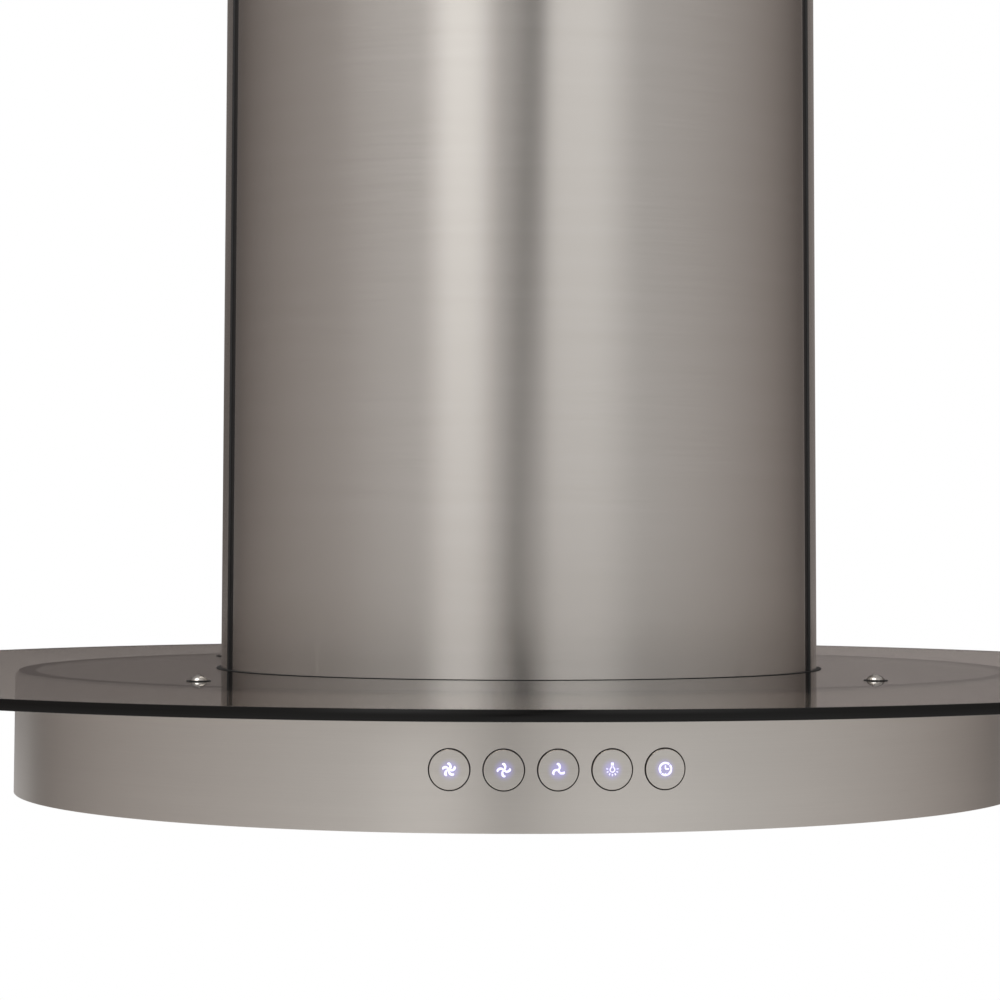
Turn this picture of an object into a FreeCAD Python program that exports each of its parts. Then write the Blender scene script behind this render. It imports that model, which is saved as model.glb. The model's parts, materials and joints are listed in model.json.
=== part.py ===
import FreeCAD, Part

import math
import os

from FreeCAD import Vector

# Island range hood: an oval brushed steel chimney stands on an oval glass canopy,
# which lies on an oval steel body with five round push buttons on its front.
#
# Frame: millimetres, +Z up, front of the hood towards -Y. The origin is the centre
# of the ceiling plate's top face, where the hood meets the ceiling.

# ---------------------------------------------------------------- overall sizes
HOOD_DROP = 880.0  # from the ceiling down to the top of the glass
SHEET = 1.2  # steel sheet of skins, walls and panels

# Glass canopy
GLASS_A = 450.0  # half width
GLASS_B = 316.0  # half depth
GLASS_T = 6.0
GLASS_CHAMFER = 0.5
GLASS_CUTOUT_A = 170.0
GLASS_CUTOUT_B = 104.0
GLASS_SCREW_X = 193.0
REAR_SCREW_X = 189.5
GLASS_SCREW_Y = 122.0
GLASS_HOLE_R = 4.5

# Gaskets under the glass
EDGE_GASKET_T = 1.5
GASKET_W = 10.0
GASKET_INSET = 2.0

# Body under the glass
BODY_A = 311.5
BODY_B = 208.2
BODY_H = 66.2
SKIRT_FLANGE_W = 14.0
TOP_PLATE_T = 1.5
PLATE_GAP = 0.2  # round the plates that fill the skirt
PANEL_RECESS = 8.0  # from the skirt's lower edge up to the underside panel
PANEL_T = 1.2
POST_R = 4.0
POST_TO_LAMP = 35.0  # along X, from lamp centre in to the posts
POST_Y = 30.0

# Chimney
CHIMNEY_A = 186.5
CHIMNEY_B = 118.5
LOWER_CHIMNEY_H = 500.0
UPPER_CHIMNEY_H = 478.0
UPPER_TOP_GAP = 2.0  # between the ceiling and the upper chimney
CHIMNEY_SLIDE_GAP = 0.6
SEAL_T = 0.3
SEAL_W = 9.0
SEAL_LIP_A = 3.0
SEAL_LIP_B = 0.3
SEAM_Y = -38.0  # the seams lie in front of the middle
SEAM_TURN = -2.3  # degrees about Z: the seam line runs a little forward on the right
SEAM_GAP = 8.0
STRIP_T = 1.2
STRIP_W = 30.0
BRACKET_RISE = 26.0  # chimney brackets above the glass
BRACKET_T = 2.0
BRACKET_Y0 = -41.0
BRACKET_Y1 = -26.0
BRACKET_TAB = 20.0

# Ceiling plate and telescopic frame
CEILING_T = 3.0
CEILING_RIM_H = 16.0
RIM_GAP = 0.6
DUCT_HOLE_R = 84.0
CABLE_HOLE_R = 10.0  # above the cable gland
CEILING_BOLT_X = 85.0
CEILING_BOLT_Y = 85.0
CEILING_BOLT_R = 4.5
LEG_X = 136.0  # outer corner of the upper legs
LEG_Y = 62.0
LEG_W = 20.0
LEG_T = 2.0
UPPER_LEG_H = 430.0
LEG_OVERLAP = 80.0
OVERLAP_BOLTS = (0.25, 0.75)  # shares of the overlap
TAB_W = 18.0
TAB_T = 2.0
FOOT_T = 2.5
FOOT_X0 = 92.0
FOOT_X1 = 138.0
FOOT_Y = 62.0
FOOT_BOLT_X = 115.0
FOOT_BOLT_Y = 24.0

# M5 bolt and M4 screw
BOLT_R = 2.5
BOLT_L = 5.0
BOLT_HEAD_R = 4.6
BOLT_HEAD_H = 3.0
SCREW_R = 2.0
SCREW_L = 8.0
SCREW_HEAD_R = 3.8
SCREW_HEAD_H = 2.2
HOLE_GAP = 0.1

# Blower box, an eight sided casing between body and duct
BOX_HALF_W = 142.0
BOX_HALF_D = 90.0
BOX_CORNER_X = 72.0
BOX_CORNER_Y = 42.0
BOX_H = 238.0
BOX_FLANGE_W = 14.0

# Blower
WHEEL_R = 72.0
WHEEL_INNER_R = 58.0
WHEEL_HALF_W = 38.0
WHEEL_RING_T = 2.0
WHEEL_DISC_T = 1.5
BLADES = 32
BLADE_T = 1.0
BLADE_STEPS = 4  # straight pieces along the curve of a blade
BLADE_SWEEP = 9.0  # degrees from the inner to the outer edge
HUB_R = 12.0
HUB_HALF_W = 9.0
BLOWER_X = -46.0
BLOWER_RISE = 118.0  # wheel centre above the body's top plate
SCROLL_R0 = 79.0
SCROLL_R1 = 105.0
TONGUE_ANGLE = 72.0
SCROLL_HALF_W = 44.0
SCROLL_POINTS = 13
INLET_R = 62.0
INLET_LIP = 4.0
SHAFT_R = 4.0
SHAFT_FIT = 0.05
SHAFT_FRONT = 13.0
SHAFT_REAR = 58.0
MOTOR_R = 40.0
MOTOR_Y0 = 14.0
MOTOR_Y1 = 74.0
MOTOR_ROUND = 4.0
ARM_W = 12.0
ARM_T = 2.0
ARM_R = 74.0
ARM_Y = 60.0
ARMS = 3
CAPACITOR_R = 14.0
CAPACITOR_H = 62.0
CAPACITOR_TAB = 9.0
CAPACITOR_RISE = 40.0
TERMINAL_D = 28.0
TERMINAL_HALF_W = 30.0
TERMINAL_H = 60.0
TERMINAL_RISE = 140.0

# Duct collar and damper
COLLAR_R = 75.0
COLLAR_T = 1.5
COLLAR_H = 60.0
COLLAR_FLANGE_R = 88.0
ROD_R = 2.0
ROD_FIT = 0.05
ROD_RISE = 24.0
ROD_INSET = 0.1
FLAP_R = 71.5
FLAP_T = 1.0
FLAP_ROOT = 5.6
KNUCKLE_R = 4.4
KNUCKLE_L = 10.0
KNUCKLE_NEAR_Y = 18.0
KNUCKLE_FAR_Y = 42.0

# Cable gland
GLAND_BORE_R = 4.2
GLAND_THREAD_R = 8.0
GLAND_FLANGE_R = 11.0
GLAND_FLANGE_H = 4.0
GLAND_DOME_R = 9.0
GLAND_DOME_H = 10.0
GLAND_TAIL = 6.0

# Glass screws
DOME_R = 5.2
DOME_H = 3.3
GLASS_SHANK_R = 2.5
BUSHING_FLANGE_R = 6.9
BUSHING_FLANGE_T = 0.3
BUSHING_GAP = 0.2
NUT_R = 4.6
NUT_H = 3.5
THREAD_END = 1.5

# Push buttons
BUTTONS = 5
BUTTON_PITCH = 28.6  # along the skirt
SPACING_STEPS = 60  # small steps that add up to one button's way along the skirt
BUTTON_DROP = 40.5  # centre below the top of the glass
BUTTON_HOLE_R = 11.25
CAP_R = 10.6
CAP_PROUD = 0.6
CAP_T = 0.8
CAP_WALL = 1.2
CAP_DEPTH = 9.0
CAP_EDGE = 0.35
BUTTON_TRAVEL = 1.5
BARREL_BORE_R = 11.1
BARREL_R = 13.0
BARREL_L = 20.0
BARREL_SEAT = 0.3  # behind the curved skirt
BARREL_BACK = 2.0
STEM_R = 2.0
STEM_GAP = 0.5
SWITCH_W = 8.0
SWITCH_D = 4.0
SWITCH_GAP = 0.4
GUIDE_T = 1.6
GUIDE_GAP = 0.1
ICON_R = 3.7
ICON_LINE = 0.5
ICON_BRIDGE = 0.5  # steel left across the clock's ring, which holds its middle
FAN_BLADES = (5, 4, 3)  # fast, medium and slow
FAN_HUB_R = 0.8
BLADE_BACK = ((0.5, 0.0), (1.35, 1.9), (0.2, 3.7))  # points across and along the top blade
BLADE_TIP = (-0.7, 3.55)
BLADE_FRONT = ((-1.05, 3.0), (0.15, 1.75), (-0.35, 0.0))
BULB_R = 1.5
BULB_NECK_W = 1.5
BULB_NECK_TOP = 1.9
BULB_CAP_GAP = 0.3
BULB_RAY_COUNT = 7
BULB_RAY_STEP = 33.0  # degrees
BULB_RAY_L = 1.0
BULB_RAY_GAP = 0.8
CLOCK_RING = 1.1
CLOCK_HAND_L = 1.9
CLOCK_HAND_W = 0.75
CLOCK_TICK_L = 0.4
HAND_ANGLES = (0, 90)  # three o'clock
TICK_ANGLES = (180, 270)
BRIDGE_ANGLES = (45, 225)

# Control box
CONTROL_HALF_W = 72.0
CONTROL_GAP = 6.0  # behind the switches
CONTROL_D = 40.0
CONTROL_H = 36.0
CONTROL_WALL = 2.0
BOARD_T = 1.6
BOARD_GAP = 0.2
BOARD_DROP = 12.0
CHIP_H = 7.0
RELAYS = 4
RELAY_W = 15.0
RELAY_D = 12.0
RELAY_PITCH = 28.0

# Lamps
LAMP_INSET = 71.5  # from the end of the body in to the lamp centre
LAMP_Y = 72.0
LAMP_R = 25.0
LAMP_H = 16.0
LAMP_WALL = 1.5
LENS_T = 2.0
BEZEL_R = 29.0
BEZEL_T = 1.5
LAMP_GAP = 0.3

# Grease filters
FILTER_TO_LAMP = 25.0  # from the filter out to the lamp bezel
FILTER_D = 260.0
FILTER_T = 10.0
FILTER_WEB = 12.0  # panel strip between the two filters
FILTER_GAP = 0.8
FILTER_BORDER = 14.0
FILTER_SKIN = 1.0
TAB_REACH = 8.0
TAB_HALF_W = 12.0
TAB_X = 60.0
TAB_LIFT = 0.5
BAFFLE_W = 16.0
BAFFLE_PITCH = 25.0
BAFFLE_H = 5.0
BAFFLE_T = 0.8
LATCH_W = 44.0
LATCH_D = 9.0
LATCH_T = 2.0
LATCH_GAP = 0.4
LATCH_TRAVEL = 5.0
LATCH_GRIP_H = 4.0

# ---------------------------------------------------------------- levels and places
GLASS_TOP = -HOOD_DROP
GLASS_BOTTOM = GLASS_TOP - GLASS_T
SKIRT_TOP = GLASS_BOTTOM - EDGE_GASKET_T
SKIRT_BOTTOM = SKIRT_TOP - BODY_H
PLATE_TOP = SKIRT_TOP - SHEET
PLATE_BOTTOM = PLATE_TOP - TOP_PLATE_T
PANEL_BOTTOM = SKIRT_BOTTOM + PANEL_RECESS
PANEL_TOP = PANEL_BOTTOM + PANEL_T
BOX_TOP = PLATE_TOP + BOX_H
BOX_ROOF = BOX_TOP - SHEET
CHIMNEY_BOTTOM = GLASS_TOP + SEAL_T
BLOWER_Z = PLATE_TOP + BLOWER_RISE
ROD_Z = BOX_TOP + ROD_RISE
BUTTON_Z = GLASS_TOP - BUTTON_DROP
LEG_FOOT = BOX_TOP + FOOT_T
LAMP_X = BODY_A - LAMP_INSET
POST_X = LAMP_X - POST_TO_LAMP
FILTER_W = LAMP_X - BEZEL_R - FILTER_TO_LAMP - FILTER_WEB / 2
CONTROL_Y0 = SHEET + BARREL_SEAT + BARREL_L + SWITCH_D + CONTROL_GAP - BODY_B

# Ovals that follow from the chimney
LOWER_INNER_A = CHIMNEY_A - SHEET
LOWER_INNER_B = CHIMNEY_B - SHEET
UPPER_A = LOWER_INNER_A - STRIP_T - CHIMNEY_SLIDE_GAP
UPPER_B = LOWER_INNER_B - STRIP_T - CHIMNEY_SLIDE_GAP
UPPER_INNER_A = UPPER_A - SHEET
UPPER_INNER_B = UPPER_B - SHEET
RIM_A = UPPER_INNER_A - STRIP_T - RIM_GAP
RIM_B = UPPER_INNER_B - STRIP_T - RIM_GAP

X_AXIS = Vector(1, 0, 0)
Y_AXIS = Vector(0, 1, 0)
Z_AXIS = Vector(0, 0, 1)
ORIGIN = Vector(0, 0, 0)
SIDES = (-1, 1)
CORNERS = [(sx, sy) for sx in SIDES for sy in SIDES]
BEYOND = 10.0  # how far a cutting tool reaches past what it cuts

parts = {}


# ---------------------------------------------------------------- basic shapes
def oval_slab(a, b, z0, z1):
    """Solid oval plate with half width a and half depth b."""
    edge = Part.Ellipse(Vector(0, 0, z0), a, b).toShape()
    return Part.Face(Part.Wire([edge])).extrude(Vector(0, 0, z1 - z0))


def oval_ring(outer_a, outer_b, width, z0, z1):
    """Oval band, open in the middle."""
    ring = oval_slab(outer_a, outer_b, z0, z1)
    return ring.cut(oval_slab(outer_a - width, outer_b - width, z0 - BEYOND, z1 + BEYOND))


def block(x0, x1, y0, y1, z0, z1):
    """Box between two corners."""
    return Part.makeBox(x1 - x0, y1 - y0, z1 - z0, Vector(x0, y0, z0))


def rod(radius, start, axis, length):
    """Round bar from a start point along an axis."""
    return Part.makeCylinder(radius, length, start, axis)


def tube(outer_r, inner_r, start, axis, length):
    """Round pipe from a start point along an axis."""
    past = Vector(axis)
    past.multiply(BEYOND)
    bore = rod(inner_r, start - past, axis, length + 2 * BEYOND)
    return rod(outer_r, start, axis, length).cut(bore)


def prism(points, axis, length):
    """Straight-sided solid over a closed outline."""
    return Part.Face(Part.makePolygon(points + [points[0]])).extrude(axis * length)


def hexagon(radius, start, axis, length):
    """Hexagonal bar, radius over the corners, along X or Z."""
    side = Y_AXIS
    up = axis.cross(side)
    angles = [math.radians(60 * k) for k in range(6)]
    points = [start + side * (radius * math.cos(t)) + up * (radius * math.sin(t)) for t in angles]
    return prism(points, axis, length)


def fused(shapes):
    """One clean solid out of several that touch or overlap."""
    return shapes[0].multiFuse(shapes[1:]).removeSplitter()


def without(shape, tools):
    """A shape with every tool taken out of it."""
    for tool in tools:
        shape = shape.cut(tool)
    return shape


def group(shapes):
    """Separate solids kept together in one node."""
    solids = [solid for shape in shapes for solid in shape.Solids]
    return Part.makeCompound(solids)


def turned(shape, angle, centre=ORIGIN, axis=Z_AXIS):
    """Copy of a shape, turned by degrees."""
    copy = shape.copy()
    copy.rotate(centre, axis, angle)
    return copy


def moved(shape, offset):
    """Copy of a shape, moved."""
    copy = shape.copy()
    copy.translate(offset)
    return copy


def mirrored(shape, normal):
    """Copy of a shape, mirrored in a plane through the origin."""
    return shape.mirror(ORIGIN, normal)


# ---------------------------------------------------------------- fasteners
def bolt(start, axis):
    """M5 hexagon bolt: the shank runs from start along the axis, the head behind start."""
    head = hexagon(BOLT_HEAD_R, start - axis * BOLT_HEAD_H, axis, BOLT_HEAD_H)
    return fused([head, rod(BOLT_R, start, axis, BOLT_L)])


def bolt_hole(start, axis):
    """Clearance hole for that bolt, through everything round it."""
    return rod(BOLT_R + HOLE_GAP, start - axis * BEYOND, axis, BOLT_L + 2 * BEYOND)


def screw(start, axis):
    """M4 pan head screw."""
    head = rod(SCREW_HEAD_R, start - axis * SCREW_HEAD_H, axis, SCREW_HEAD_H)
    return fused([head, rod(SCREW_R, start, axis, SCREW_L)])


def upper_leg_bolt_points():
    """Bolts that hold the upper legs under the ceiling plate."""
    inset = LEG_T + TAB_W / 2
    z = -CEILING_T - TAB_T
    return [Vector(sx * (LEG_X - inset), sy * (LEG_Y - inset), z) for sx, sy in CORNERS]


def lower_leg_bolt_points():
    """Bolts that hold the lower legs on the feet."""
    inset = 2 * LEG_T + TAB_W / 2
    z = LEG_FOOT + TAB_T
    return [Vector(sx * (LEG_X - inset), sy * (LEG_Y - inset), z) for sx, sy in CORNERS]


def overlap_bolt_points():
    """Bolts through both legs where they overlap: point and inward axis."""
    low = -CEILING_T - UPPER_LEG_H
    spots = []
    for sx, sy in CORNERS:
        for share in OVERLAP_BOLTS:
            z = low + LEG_OVERLAP * share
            point = Vector(sx * LEG_X, sy * (LEG_Y - LEG_T - LEG_W / 2), z)
            spots.append((point, X_AXIS * -sx))
    return spots


def foot_bolt_points():
    """Bolts that hold the feet on the blower box."""
    z = BOX_TOP + FOOT_T
    return [Vector(sx * FOOT_BOLT_X, sy * FOOT_BOLT_Y, z) for sx, sy in CORNERS]


# ---------------------------------------------------------------- ceiling plate and frame
def ceiling_plate():
    """Oval plate with a turned-down rim, a duct hole, a cable hole and four bolt holes."""
    plate = oval_slab(RIM_A, RIM_B, -CEILING_T, 0)
    rim = oval_ring(RIM_A, RIM_B, LEG_T, -CEILING_RIM_H, -CEILING_T)
    tools = [rod(DUCT_HOLE_R, Vector(0, 0, -BEYOND), Z_AXIS, 2 * BEYOND)]
    tools.append(rod(CABLE_HOLE_R, Vector(FOOT_BOLT_X, 0, -BEYOND), Z_AXIS, 2 * BEYOND))
    for sx, sy in CORNERS:
        start = Vector(sx * CEILING_BOLT_X, sy * CEILING_BOLT_Y, -BEYOND)
        tools.append(rod(CEILING_BOLT_R, start, Z_AXIS, 2 * BEYOND))
    tools += [bolt_hole(point, Z_AXIS) for point in upper_leg_bolt_points()]
    return without(fused([plate, rim]), tools)


def leg(corner_x, corner_y, z0, z1, tab_z):
    """Angle section with a bolting tab, for the +X +Y corner."""
    web_x = block(corner_x - LEG_T, corner_x, corner_y - LEG_W, corner_y, z0, z1)
    web_y = block(corner_x - LEG_W, corner_x, corner_y - LEG_T, corner_y, z0, z1)
    inner_x = corner_x - LEG_T
    inner_y = corner_y - LEG_T
    tab = block(inner_x - TAB_W, inner_x, inner_y - TAB_W, inner_y, tab_z, tab_z + TAB_T)
    return fused([web_x, web_y, tab])


def four_legs(corner_leg):
    """The leg in all four corners."""
    right = [corner_leg, mirrored(corner_leg, Y_AXIS)]
    return right + [mirrored(shape, X_AXIS) for shape in right]


def upper_frame_legs():
    """Four angles that hang from the ceiling plate."""
    top = -CEILING_T
    corner = leg(LEG_X, LEG_Y, top - UPPER_LEG_H, top, top - TAB_T)
    tools = [bolt_hole(point, Z_AXIS) for point in upper_leg_bolt_points()]
    tools += [bolt_hole(point, axis) for point, axis in overlap_bolt_points()]
    return group([without(shape, tools) for shape in four_legs(corner)])


def lower_frame_legs():
    """Four angles on the blower box, nested in the upper legs."""
    top = -CEILING_T - UPPER_LEG_H + LEG_OVERLAP
    corner = leg(LEG_X - LEG_T, LEG_Y - LEG_T, LEG_FOOT, top, LEG_FOOT)
    tools = [bolt_hole(point, Z_AXIS * -1) for point in lower_leg_bolt_points()]
    tools += [bolt_hole(point, axis) for point, axis in overlap_bolt_points()]
    return group([without(shape, tools) for shape in four_legs(corner)])


def frame_feet():
    """Two plates on the blower box, each under two legs. The right one holds the gland."""
    right = block(FOOT_X0, FOOT_X1, -FOOT_Y, FOOT_Y, BOX_TOP, BOX_TOP + FOOT_T)
    tools = [bolt_hole(point, Z_AXIS * -1) for point in lower_leg_bolt_points()]
    tools += [bolt_hole(point, Z_AXIS * -1) for point in foot_bolt_points()]
    tools += [gland_hole()]
    return group([without(shape, tools) for shape in (right, mirrored(right, X_AXIS))])


def frame_bolts():
    """All twenty M5 bolts of the frame."""
    bolts = [bolt(point, Z_AXIS) for point in upper_leg_bolt_points()]
    bolts += [bolt(point, Z_AXIS * -1) for point in lower_leg_bolt_points()]
    bolts += [bolt(point, axis) for point, axis in overlap_bolt_points()]
    bolts += [bolt(point, Z_AXIS * -1) for point in foot_bolt_points()]
    return group(bolts)


# ---------------------------------------------------------------- blower box and what it holds
def octagon(inset, z):
    """Outline of the blower box, moved inwards."""
    a = BOX_HALF_W - inset
    b = BOX_HALF_D - inset
    run_x = BOX_HALF_W - BOX_CORNER_X
    run_y = BOX_HALF_D - BOX_CORNER_Y
    slope = math.hypot(run_x, run_y)
    cx = BOX_CORNER_X - inset * (slope - run_x) / run_y
    cy = BOX_CORNER_Y - inset * (slope - run_y) / run_x
    quarter = [(cx, b), (a, cy)]
    right = quarter + [(x, -y) for x, y in reversed(quarter)]
    left = [(-x, -y) for x, y in right]
    return [Vector(x, y, z) for x, y in right + left]


def octagon_slab(inset, z0, z1):
    """Solid with the blower box's outline."""
    return prism(octagon(inset, z0), Z_AXIS, z1 - z0)


def scroll_points(wall):
    """Points of the spiral, seen from the front, with the wall taken off."""
    start_x = BLOWER_X + SCROLL_R0 * math.cos(math.radians(TONGUE_ANGLE)) + wall
    start = math.acos((start_x - BLOWER_X) / (SCROLL_R0 - wall))
    points = []
    for k in range(SCROLL_POINTS):
        angle = start + (2 * math.pi - start) * k / (SCROLL_POINTS - 1)
        radius = SCROLL_R0 - wall + (SCROLL_R1 - SCROLL_R0) * k / (SCROLL_POINTS - 1)
        x = BLOWER_X + radius * math.cos(angle)
        points.append(Vector(x, 0, BLOWER_Z + radius * math.sin(angle)))
    return points


def scroll_solid(wall, half_w, top):
    """Filled scroll with its outlet, between two cheeks."""
    points = scroll_points(wall)
    curve = Part.BSplineCurve()
    curve.interpolate(points)
    first, last = points[0], points[-1]
    top_left = Vector(first.x, 0, top)
    top_right = Vector(last.x, 0, top)
    edges = [
        curve.toShape(),
        Part.LineSegment(last, top_right).toShape(),
        Part.LineSegment(top_right, top_left).toShape(),
        Part.LineSegment(top_left, first).toShape(),
    ]
    face = Part.Face(Part.Wire(edges))
    return moved(face.extrude(Y_AXIS * (2 * half_w)), Y_AXIS * -half_w)


def blower_axis(y):
    """Point on the wheel's axis."""
    return Vector(BLOWER_X, y, BLOWER_Z)


def blower_housing():
    """Scroll casing, open at both inlets and at the outlet on top."""
    shell = scroll_solid(0, SCROLL_HALF_W, BOX_ROOF)
    hollow = scroll_solid(SHEET, SCROLL_HALF_W - SHEET, BOX_ROOF + BEYOND)
    lips = []
    for side in SIDES:
        start = blower_axis(side * (SCROLL_HALF_W + INLET_LIP / 2) - INLET_LIP / 2)
        lips.append(rod(INLET_R + SHEET, start, Y_AXIS, INLET_LIP))
    inlets = rod(INLET_R, blower_axis(-BOX_HALF_D), Y_AXIS, 2 * BOX_HALF_D)
    return without(fused([shell.cut(hollow)] + lips), [inlets])


def outlet_hole():
    """The scroll's outlet, cut through the roof of the blower box."""
    return scroll_solid(SHEET, SCROLL_HALF_W - SHEET, BOX_TOP + BEYOND)


def gland_hole():
    """Hole for the cable gland through foot and roof."""
    start = Vector(FOOT_BOLT_X, 0, BOX_ROOF - BEYOND)
    return rod(GLAND_THREAD_R + HOLE_GAP, start, Z_AXIS, FOOT_T + SHEET + 2 * BEYOND)


def blower_box():
    """Eight sided casing, with an inward flange at its foot."""
    outside = octagon_slab(0, PLATE_TOP, BOX_TOP)
    hollow = octagon_slab(SHEET, PLATE_TOP + SHEET, BOX_ROOF)
    suction = octagon_slab(BOX_FLANGE_W, PLATE_TOP - BEYOND, PLATE_TOP + BEYOND)
    tools = [hollow, suction, outlet_hole(), gland_hole()]
    tools += [bolt_hole(point, Z_AXIS * -1) for point in lower_leg_bolt_points()]
    tools += [bolt_hole(point, Z_AXIS * -1) for point in foot_bolt_points()]
    return without(outside, tools)


def blower_motor():
    """Motor that reaches into the wheel from behind."""
    body = rod(MOTOR_R, blower_axis(MOTOR_Y0), Y_AXIS, MOTOR_Y1 - MOTOR_Y0)
    rims = [edge for edge in body.Edges if edge.Curve.TypeId == "Part::GeomCircle"]
    body = body.makeFillet(MOTOR_ROUND, rims)
    bore_l = SHAFT_REAR - MOTOR_Y0 + SHAFT_FIT
    return body.cut(rod(SHAFT_R + SHAFT_FIT, blower_axis(MOTOR_Y0), Y_AXIS, bore_l))


def motor_bracket():
    """Ring round the motor with three arms to the rear cheek of the scroll."""
    shapes = [rod(MOTOR_R + ARM_T, blower_axis(ARM_Y - ARM_W / 2), Y_AXIS, ARM_W)]
    for k in range(ARMS):
        x = BLOWER_X
        arm = block(x - ARM_W / 2, x + ARM_W / 2, ARM_Y - ARM_T / 2, ARM_Y + ARM_T / 2,
                    BLOWER_Z + MOTOR_R, BLOWER_Z + ARM_R)
        foot = block(x - ARM_W / 2, x + ARM_W / 2, SCROLL_HALF_W, ARM_Y + ARM_T / 2,
                     BLOWER_Z + ARM_R - ARM_T, BLOWER_Z + ARM_R)
        angle = 360 * k / ARMS
        shapes += [turned(shape, angle, blower_axis(0), Y_AXIS) for shape in (arm, foot)]
    bore = rod(MOTOR_R, blower_axis(ARM_Y - ARM_W), Y_AXIS, 2 * ARM_W)
    return fused(shapes).cut(bore)


def motor_shaft():
    """Shaft from inside the motor to the wheel's hub."""
    return rod(SHAFT_R, blower_axis(-SHAFT_FRONT), Y_AXIS, SHAFT_FRONT + SHAFT_REAR)


def blade_outline():
    """One blade of the wheel, a curved strip seen along the axis."""
    inner, outer = [], []
    for k in range(BLADE_STEPS + 1):
        share = k / BLADE_STEPS
        radius = WHEEL_INNER_R + (WHEEL_R - BLADE_T / 2 - WHEEL_INNER_R) * share
        sweep = math.radians(BLADE_SWEEP) * share * share
        half = BLADE_T / 2 / radius
        for side, line in ((-half, inner), (half, outer)):
            x = radius * math.cos(sweep + side)
            z = radius * math.sin(sweep + side)
            line.append(blower_axis(-WHEEL_HALF_W) + Vector(x, 0, z))
    return inner + outer[::-1]


def impeller():
    """Double inlet wheel: middle disc, two end rings, hub and curved blades."""
    disc = rod(WHEEL_R - BLADE_T, blower_axis(-WHEEL_DISC_T / 2), Y_AXIS, WHEEL_DISC_T)
    hub = rod(HUB_R, blower_axis(-HUB_HALF_W), Y_AXIS, 2 * HUB_HALF_W)
    ring_r = (WHEEL_R + WHEEL_INNER_R) / 2
    front = tube(WHEEL_R, ring_r, blower_axis(-WHEEL_HALF_W), Y_AXIS, WHEEL_RING_T)
    rear = tube(WHEEL_R, ring_r, blower_axis(WHEEL_HALF_W - WHEEL_RING_T), Y_AXIS, WHEEL_RING_T)
    blade = prism(blade_outline(), Y_AXIS, 2 * WHEEL_HALF_W)
    blades = [turned(blade, 360 * k / BLADES, blower_axis(0), Y_AXIS) for k in range(BLADES)]
    wheel = fused([disc, hub, front, rear] + blades)
    return wheel.cut(rod(SHAFT_R, blower_axis(-BOX_HALF_D), Y_AXIS, 2 * BOX_HALF_D))


def motor_capacitor():
    """Run capacitor on the right wall of the blower box."""
    wall = BOX_HALF_W - SHEET
    z = PLATE_TOP + CAPACITOR_RISE
    can = rod(CAPACITOR_R, Vector(wall - CAPACITOR_R - LEG_T, 0, z), Z_AXIS, CAPACITOR_H)
    tab = block(wall - 2 * LEG_T, wall, -CAPACITOR_TAB, CAPACITOR_TAB, z, z + CAPACITOR_H)
    return fused([can, tab])


def terminal_box():
    """Plastic box with the mains terminals, on the right wall of the blower box."""
    wall = BOX_HALF_W - SHEET
    z = PLATE_TOP + TERMINAL_RISE
    return block(wall - TERMINAL_D, wall, -TERMINAL_HALF_W, TERMINAL_HALF_W, z, z + TERMINAL_H)


def cable_gland():
    """Gland that the mains flex comes in through."""
    top = BOX_TOP + FOOT_T
    low = BOX_ROOF - GLAND_TAIL
    thread = rod(GLAND_THREAD_R, Vector(FOOT_BOLT_X, 0, low), Z_AXIS, top - low)
    flange = hexagon(GLAND_FLANGE_R, Vector(FOOT_BOLT_X, 0, top), Z_AXIS, GLAND_FLANGE_H)
    dome_z = top + GLAND_FLANGE_H
    dome = rod(GLAND_DOME_R, Vector(FOOT_BOLT_X, 0, dome_z), Z_AXIS, GLAND_DOME_H)
    bore_l = dome_z + GLAND_DOME_H - low + 2 * BEYOND
    bore = rod(GLAND_BORE_R, Vector(FOOT_BOLT_X, 0, low - BEYOND), Z_AXIS, bore_l)
    return fused([thread, flange, dome]).cut(bore)


# ---------------------------------------------------------------- duct collar and damper
def duct_collar():
    """Spigot for a 150 mm duct, with holes for the damper's rod."""
    base = rod(COLLAR_FLANGE_R, Vector(0, 0, BOX_TOP), Z_AXIS, COLLAR_T)
    wall = rod(COLLAR_R, Vector(0, 0, BOX_TOP), Z_AXIS, COLLAR_H)
    bore = rod(COLLAR_R - COLLAR_T, Vector(0, 0, BOX_TOP - BEYOND), Z_AXIS, COLLAR_H + 2 * BEYOND)
    pin = rod(ROD_R, Vector(0, -COLLAR_FLANGE_R, ROD_Z), Y_AXIS, 2 * COLLAR_FLANGE_R)
    return without(fused([base, wall]), [bore, pin])


def damper_rod():
    """Rod across the collar that both flaps turn on, flush with the collar's outside."""
    half = COLLAR_R - ROD_INSET
    return rod(ROD_R, Vector(0, -half, ROD_Z), Y_AXIS, 2 * half)


def damper_flap(side, near, far):
    """Half disc with two knuckles round the rod, whose inner faces lie at near and far."""
    low = ROD_Z - FLAP_T / 2
    disc = rod(FLAP_R, Vector(0, 0, low), Z_AXIS, FLAP_T)
    past = side * COLLAR_R
    x0, x1 = sorted((side * FLAP_ROOT, past))
    half = disc.common(block(x0, x1, -COLLAR_R, COLLAR_R, low - FLAP_T, low + 2 * FLAP_T))
    shapes = [half]
    for start in (near, far):
        shapes.append(rod(KNUCKLE_R, Vector(0, start, ROD_Z), Y_AXIS, KNUCKLE_L))
        web_x0, web_x1 = sorted((0, side * (FLAP_ROOT + FLAP_T)))
        shapes.append(block(web_x0, web_x1, start, start + KNUCKLE_L, low, low + FLAP_T))
    bore = rod(ROD_R + ROD_FIT, Vector(0, -COLLAR_R, ROD_Z), Y_AXIS, 2 * COLLAR_R)
    return fused(shapes).cut(bore)


def damper_flap_left():
    """Left flap, with its knuckles at the ends."""
    return damper_flap(-1, -KNUCKLE_FAR_Y, KNUCKLE_FAR_Y - KNUCKLE_L)


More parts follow.
